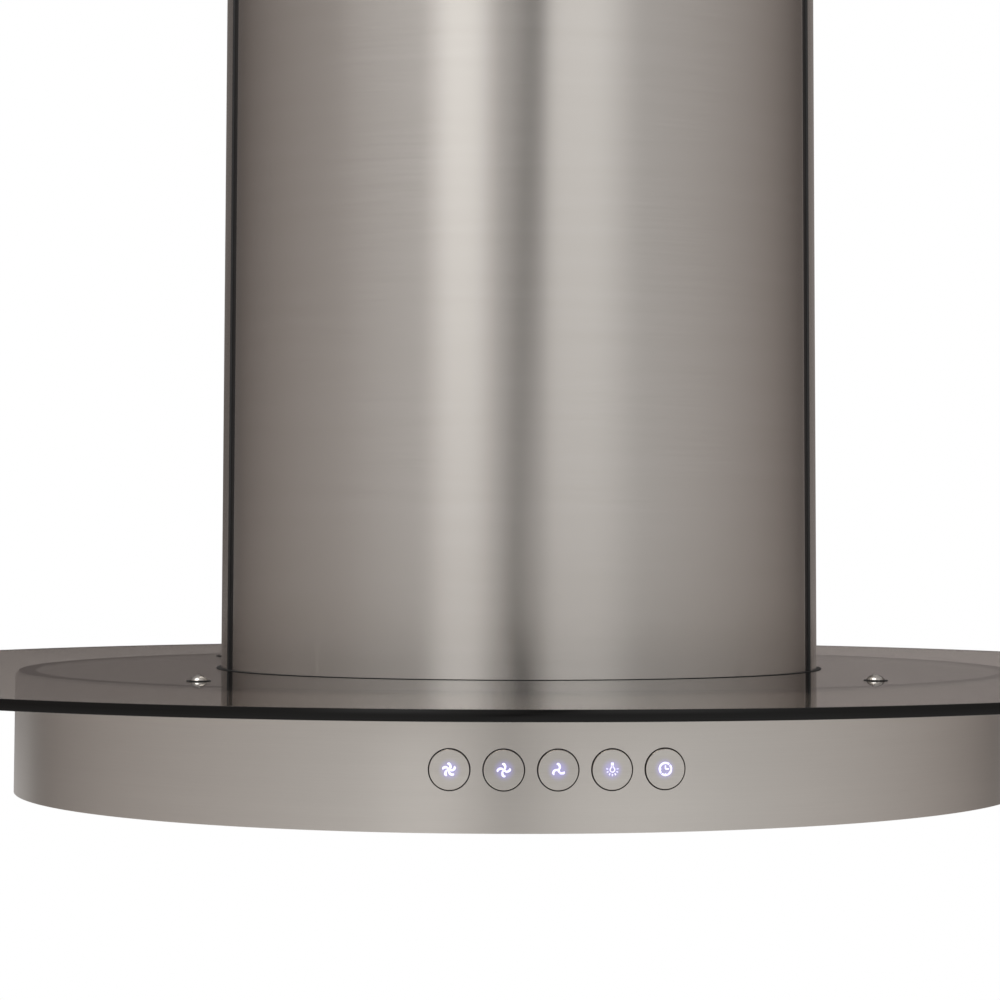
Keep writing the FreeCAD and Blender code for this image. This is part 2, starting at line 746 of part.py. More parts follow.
def damper_flap_right():
    """Right flap, with its knuckles between those of the left one."""
    return damper_flap(1, -KNUCKLE_NEAR_Y, KNUCKLE_NEAR_Y - KNUCKLE_L)


# ---------------------------------------------------------------- push buttons
def button_angles():
    """Angle on the skirt's oval of each button, spaced evenly along the skirt."""
    angles = []
    for k in range(BUTTONS):
        target = (k - (BUTTONS - 1) / 2) * BUTTON_PITCH
        angle = 0.0
        for _ in range(SPACING_STEPS):
            length = math.hypot(BODY_A * math.cos(angle), BODY_B * math.sin(angle))
            angle += target / SPACING_STEPS / length
        angles.append(angle)
    return angles


def button_place(angle):
    """Point on the skirt and turn about Z of a button that faces along -Y."""
    x = BODY_A * math.sin(angle)
    y = -BODY_B * math.cos(angle)
    turn = math.degrees(math.atan2(BODY_B * math.sin(angle), BODY_A * math.cos(angle)))
    return Vector(x, y, BUTTON_Z), turn


def on_button(shape, angle):
    """A shape modelled at the origin, facing -Y, set at a button's place."""
    point, turn = button_place(angle)
    return moved(turned(shape, turn), point)


def disc_y(radius, y0, y1):
    """Round piece along Y, round the button's own axis."""
    return rod(radius, Vector(0, y0, 0), Y_AXIS, y1 - y0)


def blade(angle):
    """One swept blade of a fan sign."""
    back = [Vector(x, -CAP_PROUD, z) for x, z in BLADE_BACK]
    tip = Vector(BLADE_TIP[0], -CAP_PROUD, BLADE_TIP[1])
    front = [Vector(x, -CAP_PROUD, z) for x, z in BLADE_FRONT]
    edges = [
        Part.Arc(*back).toShape(),
        Part.Arc(back[-1], tip, front[0]).toShape(),
        Part.Arc(*front).toShape(),
        Part.makeLine(front[-1], back[0]),
    ]
    leaf = Part.Face(Part.Wire(edges)).extrude(Y_AXIS * CAP_T)
    return turned(leaf, angle, ORIGIN, Y_AXIS)


def spoke(length, width, start, angle):
    """Short bar of a sign, out from the middle."""
    bar = block(-width / 2, width / 2, -CAP_PROUD, CAP_T - CAP_PROUD, start, start + length)
    return turned(bar, angle, ORIGIN, Y_AXIS)


def sign_disc(radius, z=0.0):
    """Round part of a sign."""
    return moved(disc_y(radius, -CAP_PROUD, CAP_T - CAP_PROUD), Z_AXIS * z)


def fan_sign(blades):
    """Fan with the given number of blades, for a blower speed."""
    return [sign_disc(FAN_HUB_R)] + [blade(360 * k / blades) for k in range(blades)]


def bulb_sign():
    """Light bulb in outline, cap upwards, with rays round its lower part."""
    bulb = fused([sign_disc(BULB_R), spoke(BULB_NECK_TOP, BULB_NECK_W, 0, 0)])
    slot = BULB_NECK_W / 2 - ICON_LINE
    inside = [
        disc_y(BULB_R - ICON_LINE, -BEYOND, BEYOND),
        block(-slot, slot, -BEYOND, BEYOND, 0, BULB_NECK_TOP + BEYOND),
    ]
    cap_start = BULB_NECK_TOP + BULB_CAP_GAP
    cap = spoke(ICON_R - cap_start, BULB_NECK_W, cap_start, 0)
    first = 180 - BULB_RAY_STEP * (BULB_RAY_COUNT - 1) / 2
    rays = [spoke(BULB_RAY_L, ICON_LINE, BULB_R + BULB_RAY_GAP, first + BULB_RAY_STEP * k)
            for k in range(BULB_RAY_COUNT)]
    return [without(bulb, inside), cap] + rays


def clock_sign():
    """Clock face, for the timer."""
    inner = ICON_R - CLOCK_RING
    ring = sign_disc(ICON_R).cut(disc_y(inner, -BEYOND, BEYOND))
    bridges = [spoke(ICON_R, ICON_BRIDGE, ICON_R / 2, turn) for turn in BRIDGE_ANGLES]
    ring = without(ring, bridges)
    tick_l = CLOCK_TICK_L + CLOCK_RING / 2
    ticks = [spoke(tick_l, ICON_LINE, inner - CLOCK_TICK_L, turn) for turn in TICK_ANGLES]
    hands = fused([spoke(CLOCK_HAND_L, CLOCK_HAND_W, 0, turn) for turn in HAND_ANGLES])
    return [fused([ring] + ticks), hands]


def signs():
    """What the five buttons show, from left to right."""
    return [fan_sign(blades) for blades in FAN_BLADES] + [bulb_sign(), clock_sign()]


def button_cap(sign):
    """Steel cap: a thin cup with the sign cut through its face."""
    cup = disc_y(CAP_R, -CAP_PROUD, CAP_DEPTH)
    rim = [edge for edge in cup.Edges if abs(edge.CenterOfMass.y + CAP_PROUD) < CAP_EDGE / 2]
    cup = cup.makeFillet(CAP_EDGE, rim)
    hollow = disc_y(CAP_R - CAP_WALL, CAP_T - CAP_PROUD, CAP_DEPTH + BEYOND)
    return without(cup, [hollow] + sign)


def button_light(sign):
    """Light guide in the cap: the sign, a disc behind it and the stem to the switch."""
    face = CAP_T - CAP_PROUD
    disc = disc_y(CAP_R - CAP_WALL - GUIDE_GAP, face, face + GUIDE_T)
    stem = disc_y(STEM_R, face, stem_end())
    return fused([disc, stem] + sign)


def barrel_front():
    """Depth of the barrel's front face behind the skirt's outer face."""
    return SHEET + BARREL_SEAT


def stem_end():
    """Depth of the stem's end, which stays clear of the switch when pressed."""
    return barrel_front() + BARREL_L - BUTTON_TRAVEL - SWITCH_GAP


def switch_barrels():
    """Five sleeves behind the skirt that guide the caps."""
    back = barrel_front() + BARREL_L
    sleeve = disc_y(BARREL_R, barrel_front(), back)
    sleeve = sleeve.cut(disc_y(BARREL_BORE_R, -BEYOND, back - BARREL_BACK))
    sleeve = sleeve.cut(disc_y(STEM_R + STEM_GAP, -BEYOND, back + BEYOND))
    return group([on_button(sleeve, angle) for angle in button_angles()])


def tact_switches():
    """Five switches on the backs of the barrels."""
    back = barrel_front() + BARREL_L
    half = SWITCH_W / 2
    switch = block(-half, half, back, back + SWITCH_D, -half, half)
    return group([on_button(switch, angle) for angle in button_angles()])


# ---------------------------------------------------------------- body
def body_skirt():
    """Oval band with an inward flange on top and five button holes."""
    outside = oval_slab(BODY_A, BODY_B, SKIRT_BOTTOM, SKIRT_TOP)
    hollow = oval_slab(BODY_A - SHEET, BODY_B - SHEET, SKIRT_BOTTOM - BEYOND, PLATE_TOP)
    mouth_a = BODY_A - SHEET - SKIRT_FLANGE_W
    mouth_b = BODY_B - SHEET - SKIRT_FLANGE_W
    mouth = oval_slab(mouth_a, mouth_b, SKIRT_BOTTOM, SKIRT_TOP + BEYOND)
    bore = turned(disc_y(BUTTON_HOLE_R, -BEYOND, BEYOND), 90, ORIGIN, Y_AXIS)
    holes = [on_button(bore, angle) for angle in button_angles()]
    return without(outside, [hollow, mouth] + holes)


def glass_screw_points(z):
    """Places of the four glass screws at a level."""
    reach = {-1: GLASS_SCREW_X, 1: REAR_SCREW_X}
    return [Vector(sx * reach[sy], sy * GLASS_SCREW_Y, z) for sx, sy in CORNERS]


def post_points(z):
    """Places of the four posts between top plate and underside panel."""
    return [Vector(sx * POST_X, sy * POST_Y, z) for sx, sy in CORNERS]


def body_top_plate():
    """Plate under the skirt's flange, with the suction opening for the blower."""
    inset = SHEET + PLATE_GAP
    plate = oval_slab(BODY_A - inset, BODY_B - inset, PLATE_BOTTOM, PLATE_TOP)
    tools = [octagon_slab(BOX_FLANGE_W, PLATE_BOTTOM - BEYOND, PLATE_TOP + BEYOND)]
    for point in glass_screw_points(PLATE_BOTTOM - BEYOND):
        tools.append(rod(GLASS_SHANK_R + HOLE_GAP, point, Z_AXIS, TOP_PLATE_T + 2 * BEYOND))
    return without(plate, tools)


def filter_centre_x(side):
    """Middle of a filter across the hood."""
    return side * (FILTER_WEB + FILTER_W) / 2 + side * FILTER_GAP


def filter_opening(side):
    """Opening in the underside panel for one filter."""
    half_w = FILTER_W / 2 + FILTER_GAP
    half_d = FILTER_D / 2 + FILTER_GAP
    x = filter_centre_x(side)
    return block(x - half_w, x + half_w, -half_d, half_d, PANEL_BOTTOM - BEYOND, PANEL_TOP + BEYOND)


def lamp_points(z):
    """Places of the four lamps at a level."""
    return [Vector(sx * LAMP_X, sy * LAMP_Y, z) for sx, sy in CORNERS]


def underside_panel():
    """Recessed oval panel with two filter openings and four lamp holes."""
    inset = SHEET + PLATE_GAP
    panel = oval_slab(BODY_A - inset, BODY_B - inset, PANEL_BOTTOM, PANEL_TOP)
    tools = [filter_opening(side) for side in SIDES]
    for point in lamp_points(PANEL_BOTTOM - BEYOND):
        tools.append(rod(LAMP_R + LAMP_GAP, point, Z_AXIS, PANEL_T + 2 * BEYOND))
    for point in post_points(PANEL_BOTTOM - BEYOND):
        tools.append(rod(SCREW_R + HOLE_GAP, point, Z_AXIS, PANEL_T + 2 * BEYOND))
    return without(panel, tools)


def panel_posts():
    """Four threaded posts that hang the panel under the top plate."""
    length = PLATE_BOTTOM - PANEL_TOP
    posts = []
    for point in post_points(PANEL_TOP):
        bore = rod(SCREW_R, point, Z_AXIS, SCREW_L - PANEL_T)
        posts.append(rod(POST_R, point, Z_AXIS, length).cut(bore))
    return group(posts)


def body_screws():
    """Four screws that hold the underside panel."""
    return group([screw(point, Z_AXIS) for point in post_points(PANEL_BOTTOM)])


# ---------------------------------------------------------------- glass canopy
def glass_canopy():
    """Oval glass plate with bevelled edges, a chimney opening and four screw holes."""
    plate = oval_slab(GLASS_A, GLASS_B, GLASS_BOTTOM, GLASS_TOP)
    plate = plate.makeChamfer(GLASS_CHAMFER, plate.Edges[:])
    cutout = oval_slab(GLASS_CUTOUT_A, GLASS_CUTOUT_B, GLASS_BOTTOM - BEYOND, GLASS_TOP + BEYOND)
    tools = [cutout]
    for point in glass_screw_points(GLASS_BOTTOM - BEYOND):
        tools.append(rod(GLASS_HOLE_R, point, Z_AXIS, GLASS_T + 2 * BEYOND))
    return without(plate, tools)


def glass_gasket():
    """Rubber under the glass: one ring on the skirt's flange and one round the cut-out."""
    edge = oval_ring(BODY_A - GASKET_INSET, BODY_B - GASKET_INSET, GASKET_W, SKIRT_TOP, GLASS_BOTTOM)
    inner_a = GLASS_CUTOUT_A + GASKET_W
    inner_b = GLASS_CUTOUT_B + GASKET_W
    middle = oval_ring(inner_a, inner_b, GASKET_W, PLATE_TOP, GLASS_BOTTOM)
    return group([edge, middle])


def glass_bushings():
    """Soft bushings that keep the screws off the glass."""
    bushings = []
    for point in glass_screw_points(GLASS_TOP):
        down = Z_AXIS * -1
        flange = rod(BUSHING_FLANGE_R, point, Z_AXIS, BUSHING_FLANGE_T)
        sleeve = rod(GLASS_HOLE_R - BUSHING_GAP, point, down, GLASS_TOP - PLATE_TOP)
        bore = rod(GLASS_SHANK_R, point + Z_AXIS * BEYOND, down, GLASS_TOP - PLATE_TOP + 2 * BEYOND)
        bushings.append(fused([flange, sleeve]).cut(bore))
    return group(bushings)


def dome_head(point):
    """Domed screw head that sits on a point."""
    ball_r = (DOME_R * DOME_R + DOME_H * DOME_H) / (2 * DOME_H)
    ball = Part.makeSphere(ball_r, point + Z_AXIS * (DOME_H - ball_r))
    return ball.common(rod(DOME_R + BEYOND, point, Z_AXIS, DOME_H + BEYOND))


def glass_screws():
    """Four domed screws that hold the glass on the body."""
    screws = []
    for point in glass_screw_points(GLASS_TOP + BUSHING_FLANGE_T):
        length = point.z - PLATE_BOTTOM + NUT_H + THREAD_END
        shank = rod(GLASS_SHANK_R, point, Z_AXIS * -1, length)
        screws.append(fused([dome_head(point), shank]))
    return group(screws)


def glass_nuts():
    """Nuts under the top plate."""
    nuts = []
    for point in glass_screw_points(PLATE_BOTTOM - NUT_H):
        nut = hexagon(NUT_R, point, Z_AXIS, NUT_H)
        nuts.append(nut.cut(rod(GLASS_SHANK_R, point - Z_AXIS * BEYOND, Z_AXIS, 2 * BEYOND + NUT_H)))
    return group(nuts)


# ---------------------------------------------------------------- chimney
def seam_slab(front, back, z0, z1):
    """Slab across the hood between two distances from the seam line."""
    slab = block(-2 * CHIMNEY_A, 2 * CHIMNEY_A, front, back, z0, z1)
    return moved(turned(slab, SEAM_TURN), Y_AXIS * SEAM_Y)


def shell_half(a, b, z0, z1, side):
    """Front (-1) or rear (1) half shell of an oval chimney."""
    reach = 3 * CHIMNEY_A
    near = SEAM_GAP / 2
    span = (-reach, -near) if side < 0 else (near, reach)
    return oval_ring(a, b, SHEET, z0, z1).common(seam_slab(span[0], span[1], z0, z1))


def joint_strips(inner_a, inner_b, z0, z1):
    """Dark strips that join both half shells from inside, behind the open seams."""
    ring = oval_ring(inner_a, inner_b, STRIP_T, z0, z1)
    return group([ring.common(seam_slab(-STRIP_W / 2, STRIP_W / 2, z0, z1))])


def lower_chimney(side):
    """Half of the lower chimney."""
    top = CHIMNEY_BOTTOM + LOWER_CHIMNEY_H
    return shell_half(CHIMNEY_A, CHIMNEY_B, CHIMNEY_BOTTOM, top, side)


def lower_joint_strips():
    """Strips of the lower chimney."""
    top = CHIMNEY_BOTTOM + LOWER_CHIMNEY_H
    return joint_strips(LOWER_INNER_A, LOWER_INNER_B, CHIMNEY_BOTTOM, top)


def upper_chimney(side):
    """Half of the upper chimney, which slides down into the lower one."""
    top = -UPPER_TOP_GAP
    return shell_half(UPPER_A, UPPER_B, top - UPPER_CHIMNEY_H, top, side)


def upper_joint_strips():
    """Strips of the upper chimney."""
    top = -UPPER_TOP_GAP
    return joint_strips(UPPER_INNER_A, UPPER_INNER_B, top - UPPER_CHIMNEY_H, top)


def chimney_seal():
    """Dark ring between chimney and glass, with a small lip outside."""
    ring = oval_slab(CHIMNEY_A + SEAL_LIP_A, CHIMNEY_B + SEAL_LIP_B, GLASS_TOP, CHIMNEY_BOTTOM)
    inner_a = CHIMNEY_A - SEAL_W
    inner_b = CHIMNEY_B - SEAL_W
    return ring.cut(oval_slab(inner_a, inner_b, GLASS_TOP - BEYOND, CHIMNEY_BOTTOM + BEYOND))


def chimney_brackets():
    """Angles from the blower box to the joint strips of the lower chimney."""
    z = GLASS_TOP + BRACKET_RISE
    shelf = block(BOX_HALF_W, CHIMNEY_A, BRACKET_Y0, BRACKET_Y1, z, z + BRACKET_T)
    tab = block(BOX_HALF_W, BOX_HALF_W + BRACKET_T, BRACKET_Y0, BRACKET_Y1, z, z + BRACKET_TAB)
    right = fused([shelf, tab])
    inside = oval_slab(LOWER_INNER_A - STRIP_T, LOWER_INNER_B - STRIP_T, z - BEYOND, z + BRACKET_TAB)
    return group([shape.common(inside) for shape in (right, mirrored(right, X_AXIS))])


# ---------------------------------------------------------------- controls
def control_box():
    """Plastic box under the top plate, open below."""
    y1 = CONTROL_Y0 + CONTROL_D
    low = PLATE_BOTTOM - CONTROL_H
    outside = block(-CONTROL_HALF_W, CONTROL_HALF_W, CONTROL_Y0, y1, low, PLATE_BOTTOM)
    wall = CONTROL_WALL
    half = CONTROL_HALF_W - wall
    hollow = block(-half, half, CONTROL_Y0 + wall, y1 - wall, low - BEYOND, PLATE_BOTTOM - wall)
    return outside.cut(hollow)


def control_box_lid():
    """Lid of the control box, with a rim inside its walls."""
    low = PLATE_BOTTOM - CONTROL_H
    y1 = CONTROL_Y0 + CONTROL_D
    wall = CONTROL_WALL
    plate = block(-CONTROL_HALF_W, CONTROL_HALF_W, CONTROL_Y0, y1, low - wall, low)
    inset = wall + BOARD_GAP
    half = CONTROL_HALF_W - inset
    rim = block(-half, half, CONTROL_Y0 + inset, y1 - inset, low, low + wall)
    inner = inset + wall
    half = CONTROL_HALF_W - inner
    hollow = block(-half, half, CONTROL_Y0 + inner, y1 - inner, low, low + BEYOND)
    return fused([plate, rim]).cut(hollow)


def control_board():
    """Circuit board in the control box, with its relays."""
    inset = CONTROL_WALL + BOARD_GAP
    half = CONTROL_HALF_W - inset
    y0 = CONTROL_Y0 + inset
    y1 = CONTROL_Y0 + CONTROL_D - inset
    top = PLATE_BOTTOM - BOARD_DROP
    shapes = [block(-half, half, y0, y1, top - BOARD_T, top)]
    middle = (y0 + y1) / 2
    for k in range(RELAYS):
        x = (k - (RELAYS - 1) / 2) * RELAY_PITCH
        shapes.append(block(x - RELAY_W / 2, x + RELAY_W / 2, middle - RELAY_D / 2,
                            middle + RELAY_D / 2, top, top + CHIP_H))
    return fused(shapes)


# ---------------------------------------------------------------- lamps
def lamp_housings():
    """Four cans above the underside panel."""
    cans = []
    for point in lamp_points(PANEL_BOTTOM):
        can = rod(LAMP_R, point, Z_AXIS, LAMP_H)
        hollow = rod(LAMP_R - LAMP_WALL, point - Z_AXIS * BEYOND, Z_AXIS, LAMP_H - LAMP_WALL + BEYOND)
        cans.append(can.cut(hollow))
    return group(cans)


def lamp_lenses():
    """Four frosted lenses in the cans."""
    radius = LAMP_R - LAMP_WALL - GUIDE_GAP
    return group([rod(radius, point, Z_AXIS, LENS_T) for point in lamp_points(PANEL_BOTTOM)])


def lamp_bezels():
    """Four rings that cover the gaps round the lamps."""
    bezels = []
    for point in lamp_points(PANEL_BOTTOM - BEZEL_T):
        bezels.append(tube(BEZEL_R, LAMP_R - LAMP_WALL - GUIDE_GAP, point, Z_AXIS, BEZEL_T))
    return group(bezels)


# ---------------------------------------------------------------- grease filters
def latch_slot(x, gap):
    """Pocket in the filter's front border for the latch, grown by a gap."""
    half = LATCH_W / 2 + gap
    y0 = -FILTER_D / 2
    y1 = y0 + LATCH_D + LATCH_TRAVEL + gap
    return block(x - half, x + half, y0 - BEYOND, y1, PANEL_BOTTOM - BEYOND,
                 PANEL_BOTTOM + LATCH_T + gap)


def filter_frame(side):
    """Aluminium border with two tabs at the rear edge and a latch pocket in front."""
    x = filter_centre_x(side)
    half_w = FILTER_W / 2
    half_d = FILTER_D / 2
    top = PANEL_BOTTOM + FILTER_T
    outside = block(x - half_w, x + half_w, -half_d, half_d, PANEL_BOTTOM, top)
    in_w = half_w - FILTER_BORDER
    in_d = half_d - FILTER_BORDER - LATCH_TRAVEL
    window = block(x - in_w, x + in_w, -in_d, in_d, PANEL_BOTTOM - BEYOND, top + BEYOND)
    tab_z = PANEL_TOP + TAB_LIFT
    tabs = []
    for tab_side in SIDES:
        tab_x = x + tab_side * TAB_X
        tabs.append(block(tab_x - TAB_HALF_W, tab_x + TAB_HALF_W, half_d - FILTER_SKIN,
                          half_d + TAB_REACH, tab_z, tab_z + FILTER_SKIN))
    return without(fused([outside] + tabs), [window, latch_slot(x, LATCH_GAP)])


def baffle(x, y0, y1, z, opens_up):
    """One U channel of the filter."""
    half = BAFFLE_W / 2
    outside = block(x - half, x + half, y0, y1, z, z + BAFFLE_H)
    in_z0 = z + BAFFLE_T if opens_up else z - BEYOND
    in_z1 = z + BAFFLE_H + BEYOND if opens_up else z + BAFFLE_H - BAFFLE_T
    hollow = block(x - half + BAFFLE_T, x + half - BAFFLE_T, y0 - BEYOND, y1 + BEYOND, in_z0, in_z1)
    return outside.cut(hollow)


def filter_baffles(side):
    """Two layers of channels that face each other, with gaps between them."""
    centre = filter_centre_x(side)
    inner = FILTER_W / 2 - FILTER_BORDER
    half_d = FILTER_D / 2 - FILTER_BORDER - LATCH_TRAVEL
    count = int((2 * inner - BAFFLE_W) // BAFFLE_PITCH) + 1
    low = PANEL_BOTTOM + BAFFLE_T / 2
    high = PANEL_BOTTOM + FILTER_T - BAFFLE_H - BAFFLE_T / 2
    channels = []
    for k in range(count):
        x = centre + (k - (count - 1) / 2) * BAFFLE_PITCH
        channels.append(baffle(x, -half_d, half_d, low, True))
        if k < count - 1:
            channels.append(baffle(x + BAFFLE_PITCH / 2, -half_d, half_d, high, False))
    return group(channels)


def filter_latch(side):
    """Sliding latch in the front border, with a finger grip below."""
    x = filter_centre_x(side)
    half = LATCH_W / 2
    y0 = -FILTER_D / 2
    y1 = y0 + LATCH_D
    plate = block(x - half, x + half, y0, y1, PANEL_BOTTOM, PANEL_BOTTOM + LATCH_T)
    grip = block(x - half, x + half, y1 - LATCH_T, y1, PANEL_BOTTOM - LATCH_GRIP_H, PANEL_BOTTOM)
    return fused([plate, grip])


# ---------------------------------------------------------------- build
def build():
    """Every sub-part under its name."""
    parts["ceiling_plate"] = ceiling_plate()
    parts["upper_frame_legs"] = upper_frame_legs()
    parts["lower_frame_legs"] = lower_frame_legs()
    parts["frame_feet"] = frame_feet()
    parts["frame_bolts"] = frame_bolts()
    parts["blower_box"] = blower_box()
    parts["blower_housing"] = blower_housing()
    parts["blower_motor"] = blower_motor()
    parts["motor_bracket"] = motor_bracket()
    parts["motor_shaft"] = motor_shaft()
    parts["impeller"] = impeller()
    parts["motor_capacitor"] = motor_capacitor()
    parts["terminal_box"] = terminal_box()
    parts["cable_gland"] = cable_gland()
    parts["duct_collar"] = duct_collar()
    parts["damper_rod"] = damper_rod()
    parts["damper_flap_left"] = damper_flap_left()
    parts["damper_flap_right"] = damper_flap_right()
    parts["body_skirt"] = body_skirt()
    parts["body_top_plate"] = body_top_plate()
    parts["underside_panel"] = underside_panel()
    parts["panel_posts"] = panel_posts()
    parts["body_screws"] = body_screws()
    parts["glass_canopy"] = glass_canopy()
    parts["glass_gasket"] = glass_gasket()
    parts["glass_screws"] = glass_screws()
    parts["glass_bushings"] = glass_bushings()
    parts["glass_nuts"] = glass_nuts()
    parts["chimney_seal"] = chimney_seal()
    parts["lower_chimney_front"] = lower_chimney(-1)
    parts["lower_chimney_rear"] = lower_chimney(1)
    parts["lower_joint_strips"] = lower_joint_strips()
    parts["chimney_brackets"] = chimney_brackets()
    parts["upper_chimney_front"] = upper_chimney(-1)
    parts["upper_chimney_rear"] = upper_chimney(1)
    parts["upper_joint_strips"] = upper_joint_strips()
    parts["control_box"] = control_box()
    parts["control_box_lid"] = control_box_lid()
    parts["control_board"] = control_board()
    parts["switch_barrels"] = switch_barrels()
    parts["tact_switches"] = tact_switches()
    for k, (angle, sign) in enumerate(zip(button_angles(), signs()), start=1):
        parts[f"button_{k}"] = on_button(button_cap(sign), angle)
        parts[f"button_light_{k}"] = on_button(button_light(sign), angle)
    parts["lamp_housings"] = lamp_housings()
    parts["lamp_lenses"] = lamp_lenses()
    parts["lamp_bezels"] = lamp_bezels()
    for side, word in ((-1, "left"), (1, "right")):
        parts[f"filter_frame_{word}"] = filter_frame(side)
        parts[f"filter_baffles_{word}"] = filter_baffles(side)
        parts[f"filter_latch_{word}"] = filter_latch(side)


def save():
    """Write one STEP file for each sub-part."""
    os.makedirs("parts", exist_ok=True)
    for name, shape in parts.items():
        solids = shape.Solids
        volume = sum(solid.Volume for solid in solids)
        print(f"{name}: {len(solids)} solids, {volume:.0f} mm3, valid {shape.isValid()}")
        shape.exportStep(os.path.join("parts", name + ".step"))


build()
save()
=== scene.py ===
"""Island range hood: an oval brushed steel chimney on a smoked glass canopy.

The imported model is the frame, and the shells, the glass and the bright fasteners are
modelled again here with fine outlines, because mirror-like metal shows every facet.
The other solids keep their shape and are dressed in their finishes.
"""
import json
import logging
import math
from dataclasses import dataclass
from enum import Enum

import bmesh
import bpy
from mathutils import Matrix, Vector


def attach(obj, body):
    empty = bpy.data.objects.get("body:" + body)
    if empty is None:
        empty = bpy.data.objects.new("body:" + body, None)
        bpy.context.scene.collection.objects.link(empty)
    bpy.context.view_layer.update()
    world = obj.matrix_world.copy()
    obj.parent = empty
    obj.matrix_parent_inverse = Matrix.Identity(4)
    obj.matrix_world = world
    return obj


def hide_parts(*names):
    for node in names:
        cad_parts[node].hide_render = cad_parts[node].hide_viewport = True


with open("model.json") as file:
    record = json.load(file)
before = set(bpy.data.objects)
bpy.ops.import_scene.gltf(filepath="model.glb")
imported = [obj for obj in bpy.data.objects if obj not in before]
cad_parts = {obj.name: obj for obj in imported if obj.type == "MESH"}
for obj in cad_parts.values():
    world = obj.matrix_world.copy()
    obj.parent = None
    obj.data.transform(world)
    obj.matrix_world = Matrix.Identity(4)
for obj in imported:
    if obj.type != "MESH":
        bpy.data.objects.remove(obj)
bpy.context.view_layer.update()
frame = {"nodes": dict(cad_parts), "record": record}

log = logging.getLogger("range_hood")

MM = 0.001
SMOOTH_ANGLE = math.radians(32)
LEVEL = 0.9999  # upright share of a normal, above which a face counts as level
MERGE = 0.001  # millimetres within which two corners are one
ON_PLANE = 0.0001  # millimetres within which a corner lies on a cutting plane
SOFT_CORNER = 0.3  # share of a chamfer at which its middle corner lies
ROD_SEGMENTS = 96
SCREW_FRONT = (193.0, -122.0)  # the canopy's screws on the right, in front
SCREW_REAR = (189.5, 122.0)  # and behind
BUTTON_LEVEL = -920.5
MAIN, OTHER = 0, 1  # places of the two finishes of a piece
GLASS_IOR = 1.52
ACRYLIC_IOR = 1.49
BLACK = "000000"
WHITE = "FFFFFF"
PATTERN_LOW, PATTERN_HIGH = 0.25, 0.75  # between which a pattern has its whole effect
PATTERN_ROUGHNESS = 0.6  # how strong a pattern's finer layers are
MIX_SHARE, MIX_FIRST, MIX_SECOND, MIX_RESULT = 0, 6, 7, 2  # sockets of a mix of two colours

Colour = tuple[float, float, float, float]
Tree = bpy.types.NodeTree
Node = bpy.types.Node
Socket = bpy.types.NodeSocket


# ---------------------------------------------------------------- nodes and colours
def linear(hex_colour: str) -> Colour:
    """Turn an sRGB colour into the linear colour that a shader takes.

    Args:
        hex_colour: six digits, such as "8A8680".

    Returns:
        Red, green, blue and an alpha of 1.
    """
    channels = []
    for start in (0, 2, 4):
        value = int(hex_colour[start:start + 2], 16) / 255
        channels.append(value / 12.92 if value <= 0.04045 else ((value + 0.055) / 1.055) ** 2.4)
    return (channels[0], channels[1], channels[2], 1.0)


def add_node(tree: Tree, kind: str, inputs: dict | None = None, **settings) -> Node:
    """Add a node with its settings, and fill or link its sockets.

    Args:
        tree: the tree that gets the node.
        kind: Blender's name of the node type, without its ShaderNode in front.
        inputs: socket name or number, and either a value or the socket that feeds it.
        settings: attributes of the node.

    Returns:
        The new node.
    """
    node = tree.nodes.new(f"ShaderNode{kind}")
    for name, value in settings.items():
        setattr(node, name, value)
    for socket, value in (inputs or {}).items():
        if isinstance(value, Socket):
            tree.links.new(value, node.inputs[socket])
        else:
            node.inputs[socket].default_value = value
    return node


def fill_ramp(node: Node, stops: list[tuple[float, Colour]]) -> None:
    """Give a colour ramp its stops.

    Args:
        node: the ramp.
        stops: place from 0 to 1, and colour, of each stop.
    """
    points = node.color_ramp.elements
    while len(points) < len(stops):
        points.new(0.5)
    for point, (place, colour) in zip(points, stops):
        point.position = place
        point.color = colour


# ---------------------------------------------------------------- finishes
class Grain(Enum):
    """Which way a brushed or rolled sheet runs: the size of its streaks along X, Y and Z.

    A 1 stands for the length of a streak and a 0 for its width. The second value is the
    direction across the grain, in which a highlight spreads.
    """

    ROUND = ((1, 1, 0), (0, 0, 1))
    ALONG_X = ((1, 0, 0), (0, 1, 0))
    ALONG_Y = ((0, 1, 0), (1, 0, 0))


